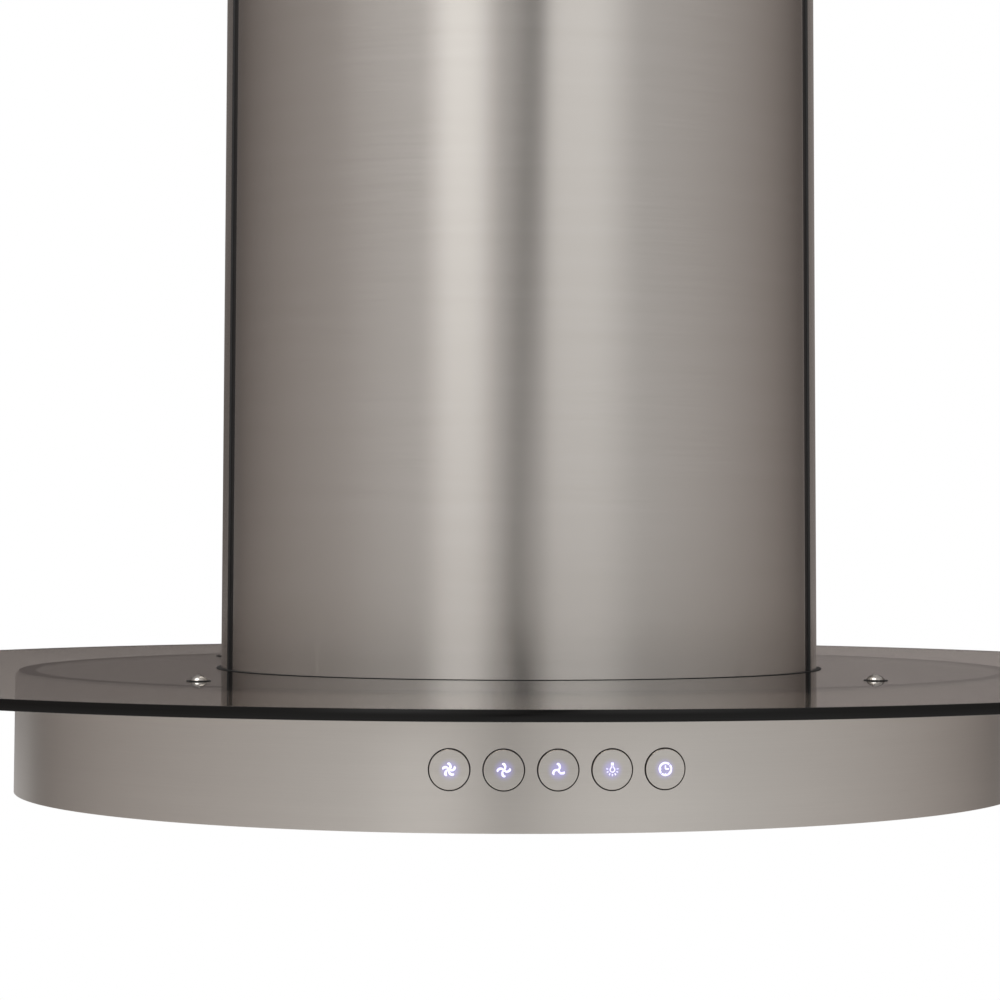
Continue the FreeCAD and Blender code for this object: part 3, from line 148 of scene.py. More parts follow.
@dataclass(frozen=True)
class Finish:
    """What every finish shares: its name and a material that is made once."""

    name: str

    def material(self) -> bpy.types.Material:
        """Make the material when it is first asked for.

        Returns:
            The material, which every piece of this finish shares.
        """
        made = bpy.data.materials.get(self.name)
        if made is None:
            made = bpy.data.materials.new(self.name)
            made.use_nodes = True
            tree = made.node_tree
            tree.nodes.clear()
            shader = add_node(tree, "BsdfPrincipled")
            add_node(tree, "OutputMaterial", {"Surface": shader.outputs["BSDF"]})
            self.paint(tree, shader)
        return made

    def paint(self, tree: Tree, shader: Node) -> None:
        """Fill in the shader. Each finish has its own way."""
        raise NotImplementedError

    def noise(self, tree: Tree, sizes: tuple[float, float, float],
              detail: float = 3.0) -> Socket:
        """Add a cloudy pattern on the object's own coordinates.

        Args:
            tree: the material's tree.
            sizes: size of a cloud along X, Y and Z, in millimetres.
            detail: how many finer layers it has.

        Returns:
            The pattern, from 0 to 1.
        """
        place = add_node(tree, "TexCoord").outputs["Object"]
        scale = tuple(1 / (size * MM) for size in sizes)
        scaled = add_node(tree, "Mapping", {"Vector": place, "Scale": scale})
        pattern = add_node(tree, "TexNoise", {
            "Vector": scaled.outputs["Vector"], "Scale": 1.0, "Detail": detail,
            "Roughness": PATTERN_ROUGHNESS})
        return pattern.outputs["Fac"]

    def tint(self, tree: Tree, shader: Node, pattern: Socket, first: str,
             second: str) -> Socket:
        """Vary the shader's colour by a pattern.

        Args:
            tree: the material's tree.
            shader: the node to fill in.
            pattern: a pattern from 0 to 1.
            first: the colour where it is low.
            second: the colour where it is high.

        Returns:
            The colour.
        """
        share = add_node(tree, "MapRange", {
            "Value": pattern, "From Min": PATTERN_LOW, "From Max": PATTERN_HIGH})
        mixed = add_node(tree, "Mix", {
            MIX_SHARE: share.outputs["Result"], MIX_FIRST: linear(first),
            MIX_SECOND: linear(second)}, data_type="RGBA")
        tree.links.new(mixed.outputs[MIX_RESULT], shader.inputs["Base Color"])
        return mixed.outputs[MIX_RESULT]

    def dull(self, tree: Tree, shader: Node, pattern: Socket, low: float,
             high: float) -> None:
        """Vary the shader's roughness by a pattern.

        Args:
            tree: the material's tree.
            shader: the node to fill in.
            pattern: a pattern from 0 to 1.
            low: the roughness where it is low.
            high: the roughness where it is high.
        """
        rough = add_node(tree, "MapRange", {
            "Value": pattern, "From Min": PATTERN_LOW, "From Max": PATTERN_HIGH,
            "To Min": low, "To Max": high})
        tree.links.new(rough.outputs["Result"], shader.inputs["Roughness"])

    def relief(self, tree: Tree, shader: Node, pattern: Socket, depth: float) -> None:
        """Give the shader a fine relief.

        Args:
            tree: the material's tree.
            shader: the node to fill in.
            pattern: its height, from 0 to 1.
            depth: how deep it is, in millimetres.
        """
        bump = add_node(tree, "Bump", {
            "Height": pattern, "Distance": depth * MM, "Strength": 1.0})
        tree.links.new(bump.outputs["Normal"], shader.inputs["Normal"])


@dataclass(frozen=True)
class BrushedSteel(Finish):
    """Stainless steel sheet, belt-brushed with a long grain.

    The eye gets soft upright bands of the room, smeared across the grain only, and hair
    lines along it.
    """

    grain: Grain = Grain.ROUND
    light: str = "D0CCC7"
    dark: str = "CBC7C1"
    roughness: float = 0.23
    anisotropy: float = 0.97
    relief_depth: float = 0.0008
    # The real hair lines are 0.05 mm wide, too fine to show, so they are drawn coarser.
    line_width: float = 0.55
    line_length: float = 42.0
    cloud_width: float = 9.0
    cloud_length: float = 190.0
    roughness_spread: float = 0.012

    def paint(self, tree: Tree, shader: Node) -> None:
        """Fill in the shader with hair lines and soft clouds along the grain.

        Args:
            tree: the material's tree.
            shader: the node to fill in.
        """
        along, across = self.grain.value
        lines = self.noise(tree, tuple(
            self.line_length if axis else self.line_width for axis in along), 2.0)
        clouds = self.noise(tree, tuple(
            self.cloud_length if axis else self.cloud_width for axis in along), 2.0)
        both = add_node(tree, "Math", {0: lines, 1: clouds}, operation="ADD")
        half = add_node(tree, "Math", {0: both.outputs[0], 1: 0.5}, operation="MULTIPLY")
        self.tint(tree, shader, half.outputs[0], self.dark, self.light)
        self.dull(tree, shader, lines, self.roughness - self.roughness_spread,
                  self.roughness + self.roughness_spread)
        tangent = add_node(tree, "CombineXYZ", dict(enumerate(map(float, across))))
        tree.links.new(tangent.outputs["Vector"], shader.inputs["Tangent"])
        shader.inputs["Metallic"].default_value = 1.0
        shader.inputs["Anisotropic"].default_value = self.anisotropy
        self.relief(tree, shader, lines, self.relief_depth)


@dataclass(frozen=True)
class GlowPaintedCapSteel(BrushedSteel):
    """Brushed steel of the button caps, with painted light round their signs.

    A faint violet glow is painted round each sign as emission on the steel.
    """

    pitch: float = 28.4  # along X, a little less than along the skirt's curve
    bloom_inner: float = 2.0
    bloom_outer: float = 6.5
    painted_glow_colour: str = "6E66FF"
    strength: float = 0.3

    def paint(self, tree: Tree, shader: Node) -> None:
        """Fill in the shader with brushed steel and a painted glow that repeats along the row.

        Args:
            tree: the material's tree.
            shader: the node to fill in.
        """
        super().paint(tree, shader)
        # The painted glow: violet emission on the steel, fading out from each sign's middle.
        place = add_node(tree, "TexCoord").outputs["Object"]
        parts = add_node(tree, "SeparateXYZ", {0: place})
        half_pitch = self.pitch * MM / 2
        aside = add_node(tree, "Math", {
            0: parts.outputs["X"], 1: half_pitch, 2: -half_pitch}, operation="WRAP")
        spot = add_node(tree, "CombineXYZ", {
            "X": aside.outputs[0], "Z": parts.outputs["Z"]})
        radius = add_node(tree, "VectorMath", {
            0: spot.outputs["Vector"], 1: (0.0, 0.0, BUTTON_LEVEL * MM)}, operation="DISTANCE")
        painted_bloom = add_node(tree, "MapRange", {
            "Value": radius.outputs["Value"], "From Min": self.bloom_inner * MM,
            "From Max": self.bloom_outer * MM, "To Min": 1.0, "To Max": 0.0},
            interpolation_type="SMOOTHSTEP")
        glow = add_node(tree, "Mix", {
            MIX_SHARE: painted_bloom.outputs["Result"], MIX_FIRST: linear(BLACK),
            MIX_SECOND: linear(self.painted_glow_colour)}, data_type="RGBA")
        tree.links.new(glow.outputs[MIX_RESULT], shader.inputs["Emission Color"])
        shader.inputs["Emission Strength"].default_value = self.strength


@dataclass(frozen=True)
class ZincSheet(Finish):
    """Hot-dip galvanised sheet: dull silver with grown zinc crystals."""

    dark: str = "8E9193"
    light: str = "B9BCBD"
    crystal: float = 7.0
    bright_roughness: float = 0.34
    dull_roughness: float = 0.5
    ripple: float = 3.0
    ripple_depth: float = 0.02

    def paint(self, tree: Tree, shader: Node) -> None:
        """Fill in the shader with spangle.

        Args:
            tree: the material's tree.
            shader: the node to fill in.
        """
        place = add_node(tree, "TexCoord").outputs["Object"]
        crystals = add_node(tree, "TexVoronoi", {
            "Vector": place, "Scale": 1 / (self.crystal * MM)})
        shade = add_node(tree, "SeparateColor", {0: crystals.outputs["Color"]})
        self.tint(tree, shader, shade.outputs[0], self.dark, self.light)
        self.dull(tree, shader, shade.outputs[1], self.bright_roughness,
                  self.dull_roughness)
        shader.inputs["Metallic"].default_value = 1.0
        self.relief(tree, shader, self.noise(tree, (self.ripple,) * 3), self.ripple_depth)


@dataclass(frozen=True)
class PlatedSteel(Finish):
    """Turned or cold-headed steel with a plated coat, bright with faint tool marks."""

    dark: str = "C9CBCC"
    light: str = "E3E4E4"
    roughness: float = 0.08
    mark: float = 2.5
    uneven: float = 0.3

    def paint(self, tree: Tree, shader: Node) -> None:
        """Fill in the shader with a faint haze.

        Args:
            tree: the material's tree.
            shader: the node to fill in.
        """
        haze = self.noise(tree, (self.mark,) * 3)
        self.tint(tree, shader, haze, self.dark, self.light)
        self.dull(tree, shader, haze, self.roughness * (1 - self.uneven),
                  self.roughness * (1 + self.uneven))
        shader.inputs["Metallic"].default_value = 1.0


@dataclass(frozen=True)
class SmokedGlass(Finish):
    """Toughened float glass with a grey-brown tint, fire-polished and so mirror smooth."""

    light: str = "A79F98"
    dark: str = "A29A93"
    smear: tuple[float, float, float] = (160.0, 60.0, 60.0)
    smear_roughness: float = 0.02

    def paint(self, tree: Tree, shader: Node) -> None:
        """Fill in the shader, with faint smears left by wiping.

        Args:
            tree: the material's tree.
            shader: the node to fill in.
        """
        smears = self.noise(tree, self.smear)
        self.tint(tree, shader, smears, self.dark, self.light)
        self.dull(tree, shader, smears, 0.0, self.smear_roughness)
        shader.inputs["IOR"].default_value = GLASS_IOR
        shader.inputs["Transmission Weight"].default_value = 1.0


@dataclass(frozen=True)
class GroundGlassEdge(Finish):
    """Ground and polished edge of the smoked glass: nearly black, seen along the sheet."""

    dark: str = "0A0A09"
    light: str = "131211"
    mark: tuple[float, float, float] = (60.0, 60.0, 0.4)
    smooth_roughness: float = 0.12
    ground_roughness: float = 0.2
    shine: float = 0.22

    def paint(self, tree: Tree, shader: Node) -> None:
        """Fill in the shader with grinding marks that run along the edge.

        Args:
            tree: the material's tree.
            shader: the node to fill in.
        """
        marks = self.noise(tree, self.mark)
        self.tint(tree, shader, marks, self.dark, self.light)
        self.dull(tree, shader, marks, self.smooth_roughness, self.ground_roughness)
        shader.inputs["IOR"].default_value = GLASS_IOR
        shader.inputs["Specular IOR Level"].default_value = self.shine


@dataclass(frozen=True)
class Moulded(Finish):
    """Moulded rubber or plastic, or sprayed enamel: one colour with a fine skin."""

    dark: str = "151515"
    light: str = "222222"
    roughness: float = 0.5
    speck: float = 0.6
    depth: float = 0.02
    ior: float = 1.5
    patch_specks: float = 30.0
    uneven: float = 0.06

    def paint(self, tree: Tree, shader: Node) -> None:
        """Fill in the shader with the skin that the mould or the spray leaves.

        Args:
            tree: the material's tree.
            shader: the node to fill in.
        """
        skin = self.noise(tree, (self.speck,) * 3)
        patches = self.noise(tree, (self.speck * self.patch_specks,) * 3)
        self.tint(tree, shader, patches, self.dark, self.light)
        self.dull(tree, shader, skin, self.roughness - self.uneven,
                  self.roughness + self.uneven)
        shader.inputs["IOR"].default_value = self.ior
        self.relief(tree, shader, skin, self.depth)


@dataclass(frozen=True)
class CircuitBoard(Finish):
    """Glass-epoxy board under green solder mask, with wide copper tracks beneath it."""

    mask: str = "1C4A32"
    track: str = "2C6B45"
    track_pitch: float = 4.0
    track_width: float = 0.12
    track_run: float = 4.0
    mask_roughness: float = 0.42
    track_roughness: float = 0.3
    track_height: float = 0.03

    def paint(self, tree: Tree, shader: Node) -> None:
        """Fill in the shader with tracks in two directions.

        Args:
            tree: the material's tree.
            shader: the node to fill in.
        """
        place = add_node(tree, "TexCoord").outputs["Object"]
        tracks = add_node(tree, "TexBrick", {
            "Vector": place, "Color1": linear(self.mask), "Color2": linear(self.mask),
            "Mortar": linear(self.track), "Scale": 1 / (self.track_pitch * MM),
            "Mortar Size": self.track_width, "Brick Width": self.track_run,
            "Row Height": 1.0})
        tree.links.new(tracks.outputs["Color"], shader.inputs["Base Color"])
        self.dull(tree, shader, tracks.outputs["Fac"], self.mask_roughness,
                  self.track_roughness)
        self.relief(tree, shader, tracks.outputs["Fac"], self.track_height)


@dataclass(frozen=True)
class LitSign(Finish):
    """Opal acrylic light guide with a cold white light-emitting diode behind it."""

    opal: str = "F2F2FF"
    edge: str = "B4AEFF"
    strength: float = 1.35
    cloud: float = 1.6
    roughness: float = 0.45

    def paint(self, tree: Tree, shader: Node) -> None:
        """Fill in the shader with a slightly uneven glow.

        Args:
            tree: the material's tree.
            shader: the node to fill in.
        """
        cloud = self.noise(tree, (self.cloud,) * 3)
        glow = self.tint(tree, shader, cloud, self.edge, self.opal)
        tree.links.new(glow, shader.inputs["Emission Color"])
        shader.inputs["Emission Strength"].default_value = self.strength
        shader.inputs["Roughness"].default_value = self.roughness
        shader.inputs["IOR"].default_value = ACRYLIC_IOR


@dataclass(frozen=True)
class LampLens(Finish):
    """Frosted acrylic lens with rings of small prisms, moulded round each lamp's middle."""

    lamp_x: float = 240.0
    lamp_y: float = 72.0
    ring_pitch: float = 2.4
    milky: str = "EDEBE4"
    clear: str = "FBFAF5"
    groove_roughness: float = 0.25
    crest_roughness: float = 0.45
    prism_depth: float = 0.3
    glow: str = "FFF4DC"
    strength: float = 0.12

    def paint(self, tree: Tree, shader: Node) -> None:
        """Fill in the shader with rings about all four lamps at once.

        Args:
            tree: the material's tree.
            shader: the node to fill in.
        """
        place = add_node(tree, "TexCoord").outputs["Object"]
        flat = add_node(tree, "VectorMath", {0: place, 1: (1.0, 1.0, 0.0)},
                        operation="MULTIPLY")
        folded = add_node(tree, "VectorMath", {0: flat.outputs["Vector"]},
                          operation="ABSOLUTE")
        lamp = (self.lamp_x * MM, self.lamp_y * MM, 0.0)
        radius = add_node(tree, "VectorMath", {0: folded.outputs["Vector"], 1: lamp},
                          operation="DISTANCE")
        turns = add_node(tree, "Math", {
            0: radius.outputs["Value"], 1: 2 * math.pi / (self.ring_pitch * MM)},
            operation="MULTIPLY")
        wave = add_node(tree, "Math", {0: turns.outputs[0]}, operation="SINE")
        rings = add_node(tree, "Math", {0: wave.outputs[0], 1: 0.5, 2: 0.5},
                         operation="MULTIPLY_ADD").outputs[0]
        self.tint(tree, shader, rings, self.milky, self.clear)
        self.dull(tree, shader, rings, self.groove_roughness, self.crest_roughness)
        shader.inputs["IOR"].default_value = ACRYLIC_IOR
        shader.inputs["Emission Color"].default_value = linear(self.glow)
        shader.inputs["Emission Strength"].default_value = self.strength
        self.relief(tree, shader, rings, self.prism_depth)


@dataclass(frozen=True)
class StudioFloor(Finish):
    """Matt white paper roll, laid on the studio floor."""

    paper: str = "F4F3F1"
    fibre: str = "EEEDEA"
    fibre_size: float = 5.0
    roughness: float = 0.9
    lift: float = 0.45

    def paint(self, tree: Tree, shader: Node) -> None:
        """Fill in the shader; seen directly, the paper is lifted to white but keeps shade.

        Args:
            tree: the material's tree.
            shader: the node to fill in.
        """
        fibres = self.noise(tree, (self.fibre_size,) * 3)
        self.tint(tree, shader, fibres, self.fibre, self.paper)
        shader.inputs["Roughness"].default_value = self.roughness
        shader.inputs["Emission Color"].default_value = linear(WHITE)
        rays = add_node(tree, "LightPath")
        seen = add_node(tree, "Math", {
            0: rays.outputs["Is Camera Ray"], 1: rays.outputs["Is Transmission Ray"]},
            operation="MAXIMUM")
        lift = add_node(tree, "Math", {0: seen.outputs[0], 1: self.lift}, operation="MULTIPLY")
        tree.links.new(lift.outputs[0], shader.inputs["Emission Strength"])


SKIN_STEEL = BrushedSteel("brushed_stainless_round")
# The skirt's steel: a lighter copy of the chimney's steel with a blurrier grain; its lighter
# colour is painted light.
SKIRT_STEEL = BrushedSteel("brushed_stainless_skirt", Grain.ROUND, "DAD6D0", "D5D1CB",
                           0.28, 0.75, 0.0004, roughness_spread=0.003)
PANEL_STEEL = BrushedSteel("brushed_stainless_along_x", Grain.ALONG_X)
BUTTON_STEEL = GlowPaintedCapSteel("brushed_stainless_button", Grain.ROUND, "DEDBD5", "D2CEC8",
                           0.3, 0.7, 0.0006, 0.4, 14.0, 5.0, 60.0)
FILTER_ALUMINIUM = BrushedSteel("anodised_aluminium_along_y", Grain.ALONG_Y, "C4C5C6",
                                "B2B4B6", 0.38, 0.5, 0.0008, 0.5, 30.0)
FILTER_STEEL = BrushedSteel("rolled_stainless_along_y", Grain.ALONG_Y, "BDB9B3", "A8A49E",
                            0.32, 0.6, 0.0008, 0.6, 50.0)
ZINC_SHEET = ZincSheet("galvanised_sheet")
# A darker copy of the galvanised sheet, for the top plate under the glass: painted shade.
SHADED_SHEET = ZincSheet("galvanised_sheet_painted_shade", "332F2C", "3E3A36", 5.0)
ZINC_BOLT = PlatedSteel("zinc_plated_bolt", "A9ABA6", "C4C6C1", 0.3)
CHROME = PlatedSteel("chromed_brass", "CDCDCE", "E6E6E6", 0.06)
SATIN_NICKEL = PlatedSteel("satin_nickel_plated_steel", "A09C97", "B4B0AB", 0.24)
GLASS = SmokedGlass("smoked_float_glass")
GLASS_EDGE = GroundGlassEdge("polished_glass_edge")
RUBBER = Moulded("moulded_epdm_rubber", "0B0B0B", "151515", 0.7, 0.5, 0.02, 1.52)
BLACK_PLASTIC = Moulded("moulded_black_polyamide", "141414", "1F1F1F", 0.48, 0.7, 0.02, 1.53)
MOTOR_ENAMEL = Moulded("sprayed_motor_enamel", "2B2E31", "3A3E42", 0.42, 1.4, 0.03, 1.5)
LAMP_CAN = Moulded("powder_coated_lamp_can", "B9BAB8", "CFD0CE", 0.55, 0.9, 0.03, 1.5)
BOARD = CircuitBoard("solder_masked_board")
LIT_SIGN = LitSign("lit_opal_acrylic")
LENS = LampLens("frosted_acrylic_lens")
PAPER = StudioFloor("studio_paper")

# What each material slot of the record is dressed in.
SLOT_FINISH: dict[str, Finish] = {
    "brushed_steel": SKIN_STEEL,
    "button_steel": BUTTON_STEEL,
    "zinc_steel": ZINC_SHEET,
    "zinc_bolt": ZINC_BOLT,
    "chrome": CHROME,
    "smoked_glass": GLASS,
    "rubber": RUBBER,
    "black_plastic": BLACK_PLASTIC,
    "motor_enamel": MOTOR_ENAMEL,
    "board": BOARD,
    "light_guide": LIT_SIGN,
    "lamp_lens": LENS,
    "lamp_can": LAMP_CAN,
    "filter_aluminium": FILTER_ALUMINIUM,
    "filter_steel": FILTER_STEEL,
}
# Nodes that are finished another way than their slot; the top plate gets painted shade.
NODE_FINISH: dict[str, Finish] = {
    "underside_panel": PANEL_STEEL,
    "body_top_plate": SHADED_SHEET,
}


# ---------------------------------------------------------------- meshes
@dataclass(frozen=True)
class Oval:
    """An ellipse seen from above, by its half width and half depth in millimetres."""

    half_width: float
    half_depth: float
    segments: int = 360

    def size(self, inset: float) -> Vector:
        """Return the half width and half depth inside an inset, for use as a scale."""
        return Vector((self.half_width - inset, self.half_depth - inset, 1.0))

    def band(self, bm: bmesh.types.BMesh, profile: list[tuple[float, float]],
             closed: bool = True) -> list[list]:
        """Skin a band whose cross-section is a chain of insets and levels.

        Args:
            bm: the mesh that gets the band.
            profile: inset and level of each corner.
            closed: whether the last corner joins the first.

        Returns:
            The loops, one for each corner.
        """
        verts = bmesh.ops.create_circle(bm, segments=self.segments, radius=1.0)["verts"]
        inset, height = profile[0]
        bmesh.ops.scale(bm, vec=self.size(inset), verts=verts)
        bmesh.ops.translate(bm, vec=Vector((0.0, 0.0, height)), verts=verts)
        loops = [list({edge for vert in verts for edge in vert.link_edges})]
        for next_inset, next_height in profile[1:] + (profile[:1] if closed else []):
            made = bmesh.ops.extrude_edge_only(bm, edges=loops[-1])["geom"]
            verts = [item for item in made if isinstance(item, bmesh.types.BMVert)]
            wanted = set(verts)
            loops.append([item for item in made if isinstance(item, bmesh.types.BMEdge)
                          and wanted.issuperset(item.verts)])
            before, after = self.size(inset), self.size(next_inset)
            ratio = Vector((after.x / before.x, after.y / before.y, 1.0))
            bmesh.ops.scale(bm, vec=ratio, verts=verts)
            bmesh.ops.translate(bm, vec=Vector((0.0, 0.0, next_height - height)), verts=verts)
            inset, height = next_inset, next_height
        if closed:
            bmesh.ops.remove_doubles(bm, verts=bm.verts, dist=MERGE)
        return loops


def shade(mesh: bpy.types.Mesh) -> None:
    """Shade curved faces smooth and level ones flat, so that a level face mirrors true.

    Args:
        mesh: the mesh to shade.
    """
    mesh.shade_smooth()
    mesh.set_sharp_from_angle(angle=SMOOTH_ANGLE)
    for polygon in mesh.polygons:
        polygon.use_smooth = abs(polygon.normal.z) < LEVEL


def put_in_scene(bm: bmesh.types.BMesh, name: str) -> bpy.types.Object:
    """Turn a mesh in millimetres into an object of the scene.

    Args:
        bm: the mesh, which is freed.
        name: the object's name.

    Returns:
        The new object.
    """
    bmesh.ops.scale(bm, vec=Vector((MM, MM, MM)), verts=bm.verts)
    mesh = bpy.data.meshes.new(name)
    bm.to_mesh(mesh)
    bm.free()
    made = bpy.data.objects.new(name, mesh)
    bpy.context.scene.collection.objects.link(made)
    return made


def finish_piece(bm: bmesh.types.BMesh, name: str, body: str,
                 finishes: list[Finish], replaced: list[str]) -> bpy.types.Object:
    """Turn a mesh in millimetres into a piece of the hood.

    Args:
        bm: the mesh, which is freed.
        name: the piece's name.
        body: the body that it rides on.
        finishes: one finish for each material index.
        replaced: the nodes that it stands for.

    Returns:
        The new object.
    """
    bmesh.ops.remove_doubles(bm, verts=bm.verts, dist=MERGE)
    bmesh.ops.recalc_face_normals(bm, faces=bm.faces)
    piece = put_in_scene(bm, name)
    shade(piece.data)
    for finish in finishes:
        piece.data.materials.append(finish.material())
    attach(piece, body)
    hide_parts(*replaced)
    return piece


def bores(name: str, rods: list[tuple[Vector, Vector, float, float]]) -> bpy.types.Object:
    """Make a helper of round rods, to be taken off another piece.

    Args:
        name: the helper's name.
        rods: middle, axis, radius and length of each rod, in millimetres.

    Returns:
        The helper, which the caller removes.
    """
    bm = bmesh.new()
    for middle, axis, radius, length in rods:
        turn = axis.to_track_quat("Z", "Y").to_matrix().to_4x4()
        bmesh.ops.create_cone(bm, cap_ends=True, segments=ROD_SEGMENTS,
                              radius1=radius, radius2=radius, depth=length,
                              matrix=Matrix.Translation(middle) @ turn)
    return put_in_scene(bm, name)


def cut(piece: bpy.types.Object, helper: bpy.types.Object) -> None:
    """Take a helper off a piece, and remove the helper.

    Args:
        piece: the piece that is cut.
        helper: the solid that is taken off.
    """
    modifier = piece.modifiers.new("bores", "BOOLEAN")
    modifier.object = helper
    modifier.operation = "DIFFERENCE"
    modifier.solver = "EXACT"
    depsgraph = bpy.context.evaluated_depsgraph_get()
    made = bpy.data.meshes.new_from_object(piece.evaluated_get(depsgraph))
    piece.modifiers.clear()
    old, piece.data = piece.data, made
    made.name = piece.name
    bpy.data.meshes.remove(old)
    bpy.data.objects.remove(helper)
    shade(made)


# ---------------------------------------------------------------- sub-assemblies
@dataclass
class GlassCanopy:
    """Oval sheet of smoked glass with a cut-out under the chimney and four bores."""

    outline: Oval = Oval(449.93, 315.93, 720)
    cutout: Oval = Oval(170.0, 104.0, 360)
    top: float = -880.0
    thickness: float = 6.0
    chamfer: float = 0.5
    bore: Oval = Oval(4.5, 4.5, 48)

    def profile(self) -> list[tuple[float, float]]:
        """Work out the polished edge, from the top face round to the lower face.

        Returns:
            Inset and level of each corner.
        """
        bottom = self.top - self.thickness
        soft = self.chamfer * SOFT_CORNER
        return [(self.chamfer, self.top), (soft, self.top - soft),
                (0.0, self.top - self.chamfer), (0.0, bottom + self.chamfer),
                (soft, bottom + soft), (self.chamfer, bottom)]

    def build(self) -> list[bpy.types.Object]:
        """Model the sheet and dress faces and edges.

        Returns:
            The glass.
        """
        bm = bmesh.new()
        outer = self.outline.band(bm, self.profile(), closed=False)
        inner = self.cutout.band(
            bm, [(-inset, height) for inset, height in self.profile()], closed=False)
        rims = [outer[0] + inner[0], outer[-1] + inner[-1]]
        for side_x in (-1, 1):
            for x, y in (SCREW_FRONT, SCREW_REAR):
                loops = self.bore.band(
                    bm, [(0.0, self.top), (0.0, self.top - self.thickness)], closed=False)
                verts = list({vert for loop in loops for edge in loop for vert in edge.verts})
                place = Vector((side_x * x, y, 0.0))
                bmesh.ops.translate(bm, vec=place, verts=verts)
                for rim, loop in zip(rims, loops):
                    rim.extend(loop)
        for face in bm.faces:
            face.material_index = OTHER
        for rim in rims:
            filled = bmesh.ops.triangle_fill(bm, use_beauty=True, edges=rim)["geom"]
            for face in filled:
                if isinstance(face, bmesh.types.BMFace):
                    face.material_index = MAIN
        return [finish_piece(bm, "canopy_glass", "hood",
                             [GLASS, GLASS_EDGE], ["glass_canopy"])]


@dataclass
class ChimneyPart:
    """One telescopic part of the chimney: a front and a rear half shell."""

    name: str
    body: str
    outline: Oval
    bottom: float
    height: float
    sheet: float = 1.2
    seam_y: float = -38.0
    seam_turn: float = -2.3
    seam_gap: float = 8.0
    front_round: float = 0.9
    rear_round: float = 0.225
    round_steps: int = 5

    def half(self, side: int) -> bpy.types.Object:
        """Model one half shell.

        Args:
            side: -1 for the front one and 1 for the rear one.

        Returns:
            The piece.
        """
        bm = bmesh.new()
        top = self.bottom + self.height
        self.outline.band(bm, [(0.0, self.bottom), (0.0, top), (self.sheet, top),
                               (self.sheet, self.bottom)])
        normal = Matrix.Rotation(math.radians(self.seam_turn), 3, "Z") @ Vector((0, 1, 0))
        start = Vector((0.0, self.seam_y, 0.0)) + normal * side * self.seam_gap / 2
        geometry = bm.verts[:] + bm.edges[:] + bm.faces[:]
        bmesh.ops.bisect_plane(bm, geom=geometry, plane_co=start, plane_no=-normal * side,
                               clear_outer=True, dist=ON_PLANE)
        rims = [edge for edge in bm.edges if edge.is_boundary]
        ends = bmesh.ops.edgeloop_fill(bm, edges=rims)["faces"]
        for face in ends:
            face.material_index = OTHER
        corners = [edge for face in ends for edge in face.edges if self.is_outer_corner(edge)]
        front = side < 0
        bmesh.ops.bevel(bm, geom=corners, affect="EDGES", offset_type="OFFSET",
                        offset=self.front_round if front else self.rear_round,
                        segments=self.round_steps, profile=0.5,
                        material=MAIN if front else OTHER)
        place = "front" if front else "rear"
        return finish_piece(bm, f"{self.name}_{place}_shell", self.body,
                            [SKIN_STEEL, BLACK_PLASTIC], [f"{self.name}_{place}"])

    def is_outer_corner(self, edge: bmesh.types.BMEdge) -> bool:
        """Tell whether an edge stands upright on the outer skin.

        Args:
            edge: an edge of the half shell.

        Returns:
            True for an edge to be rounded.
        """
        middle = (edge.verts[0].co + edge.verts[1].co) / 2
        upright = abs(edge.verts[0].co.z - edge.verts[1].co.z) > self.height / 2
        share = math.hypot(middle.x / self.outline.half_width,
                           middle.y / self.outline.half_depth)
        return upright and share > 1 - self.sheet / self.outline.half_width / 2

    def build(self) -> list[bpy.types.Object]:
        """Model both half shells."""
        return [self.half(-1), self.half(1)]


@dataclass
class BodySkirt:
    """Oval wall of the body with a folded-in flange on top and five button holes."""

    outline: Oval = Oval(311.5, 208.2, 720)
    top: float = -887.5
    height: float = 66.2
    sheet: float = 1.2
    flange: float = 14.0
    fold: float = 0.5
    edge_break: float = 0.15
    guard: float = 0.4  # from the lower edge up to the loop that keeps the wall's shading true
    button_pitch: float = 28.6
    button_hole: float = 11.25
    buttons: int = 5
    pitch_steps: int = 60
    bore_length: float = 20.0

    def profile(self) -> list[tuple[float, float]]:
        """Work out the cross-section of the wall, round from its lower outer corner.

        Returns:
            Inset and level of each corner.
        """
        bottom = self.top - self.height
        fold = self.fold
        soft = fold * SOFT_CORNER
        under = self.top - self.sheet
        return [(0.0, bottom + self.edge_break), (0.0, bottom + self.guard),
                (0.0, self.top - 2 * fold), (0.0, self.top - fold), (soft, self.top - soft),
                (fold, self.top), (self.flange, self.top), (self.flange, under),
                (self.sheet, under), (self.sheet, bottom), (self.edge_break, bottom)]

    def button_axes(self) -> list[tuple[Vector, Vector]]:
        """Step along the wall from its middle to each button.

        Returns:
            Place and outward direction of each button.
        """
        wide, deep = self.outline.half_width, self.outline.half_depth
        axes = []
        for k in range(self.buttons):
            step = (k - (self.buttons - 1) / 2) * self.button_pitch / self.pitch_steps
            angle = 0.0
            for _ in range(self.pitch_steps):
                angle += step / math.hypot(wide * math.cos(angle), deep * math.sin(angle))
            place = Vector((wide * math.sin(angle), -deep * math.cos(angle), BUTTON_LEVEL))
            outward = Vector((deep * math.sin(angle), -wide * math.cos(angle), 0.0))
            axes.append((place, outward.normalized()))
        return axes

    def build(self) -> list[bpy.types.Object]:
        """Model the wall and take the button holes off it.

        Returns:
            The wall.
        """
        bm = bmesh.new()
        self.outline.band(bm, self.profile())
        piece = finish_piece(bm, "body_skirt_sheet", "hood", [SKIRT_STEEL],
                             ["body_skirt"])
        rods = [(place, outward, self.button_hole, self.bore_length)
                for place, outward in self.button_axes()]
        cut(piece, bores("button_bores", rods))
        return [piece]


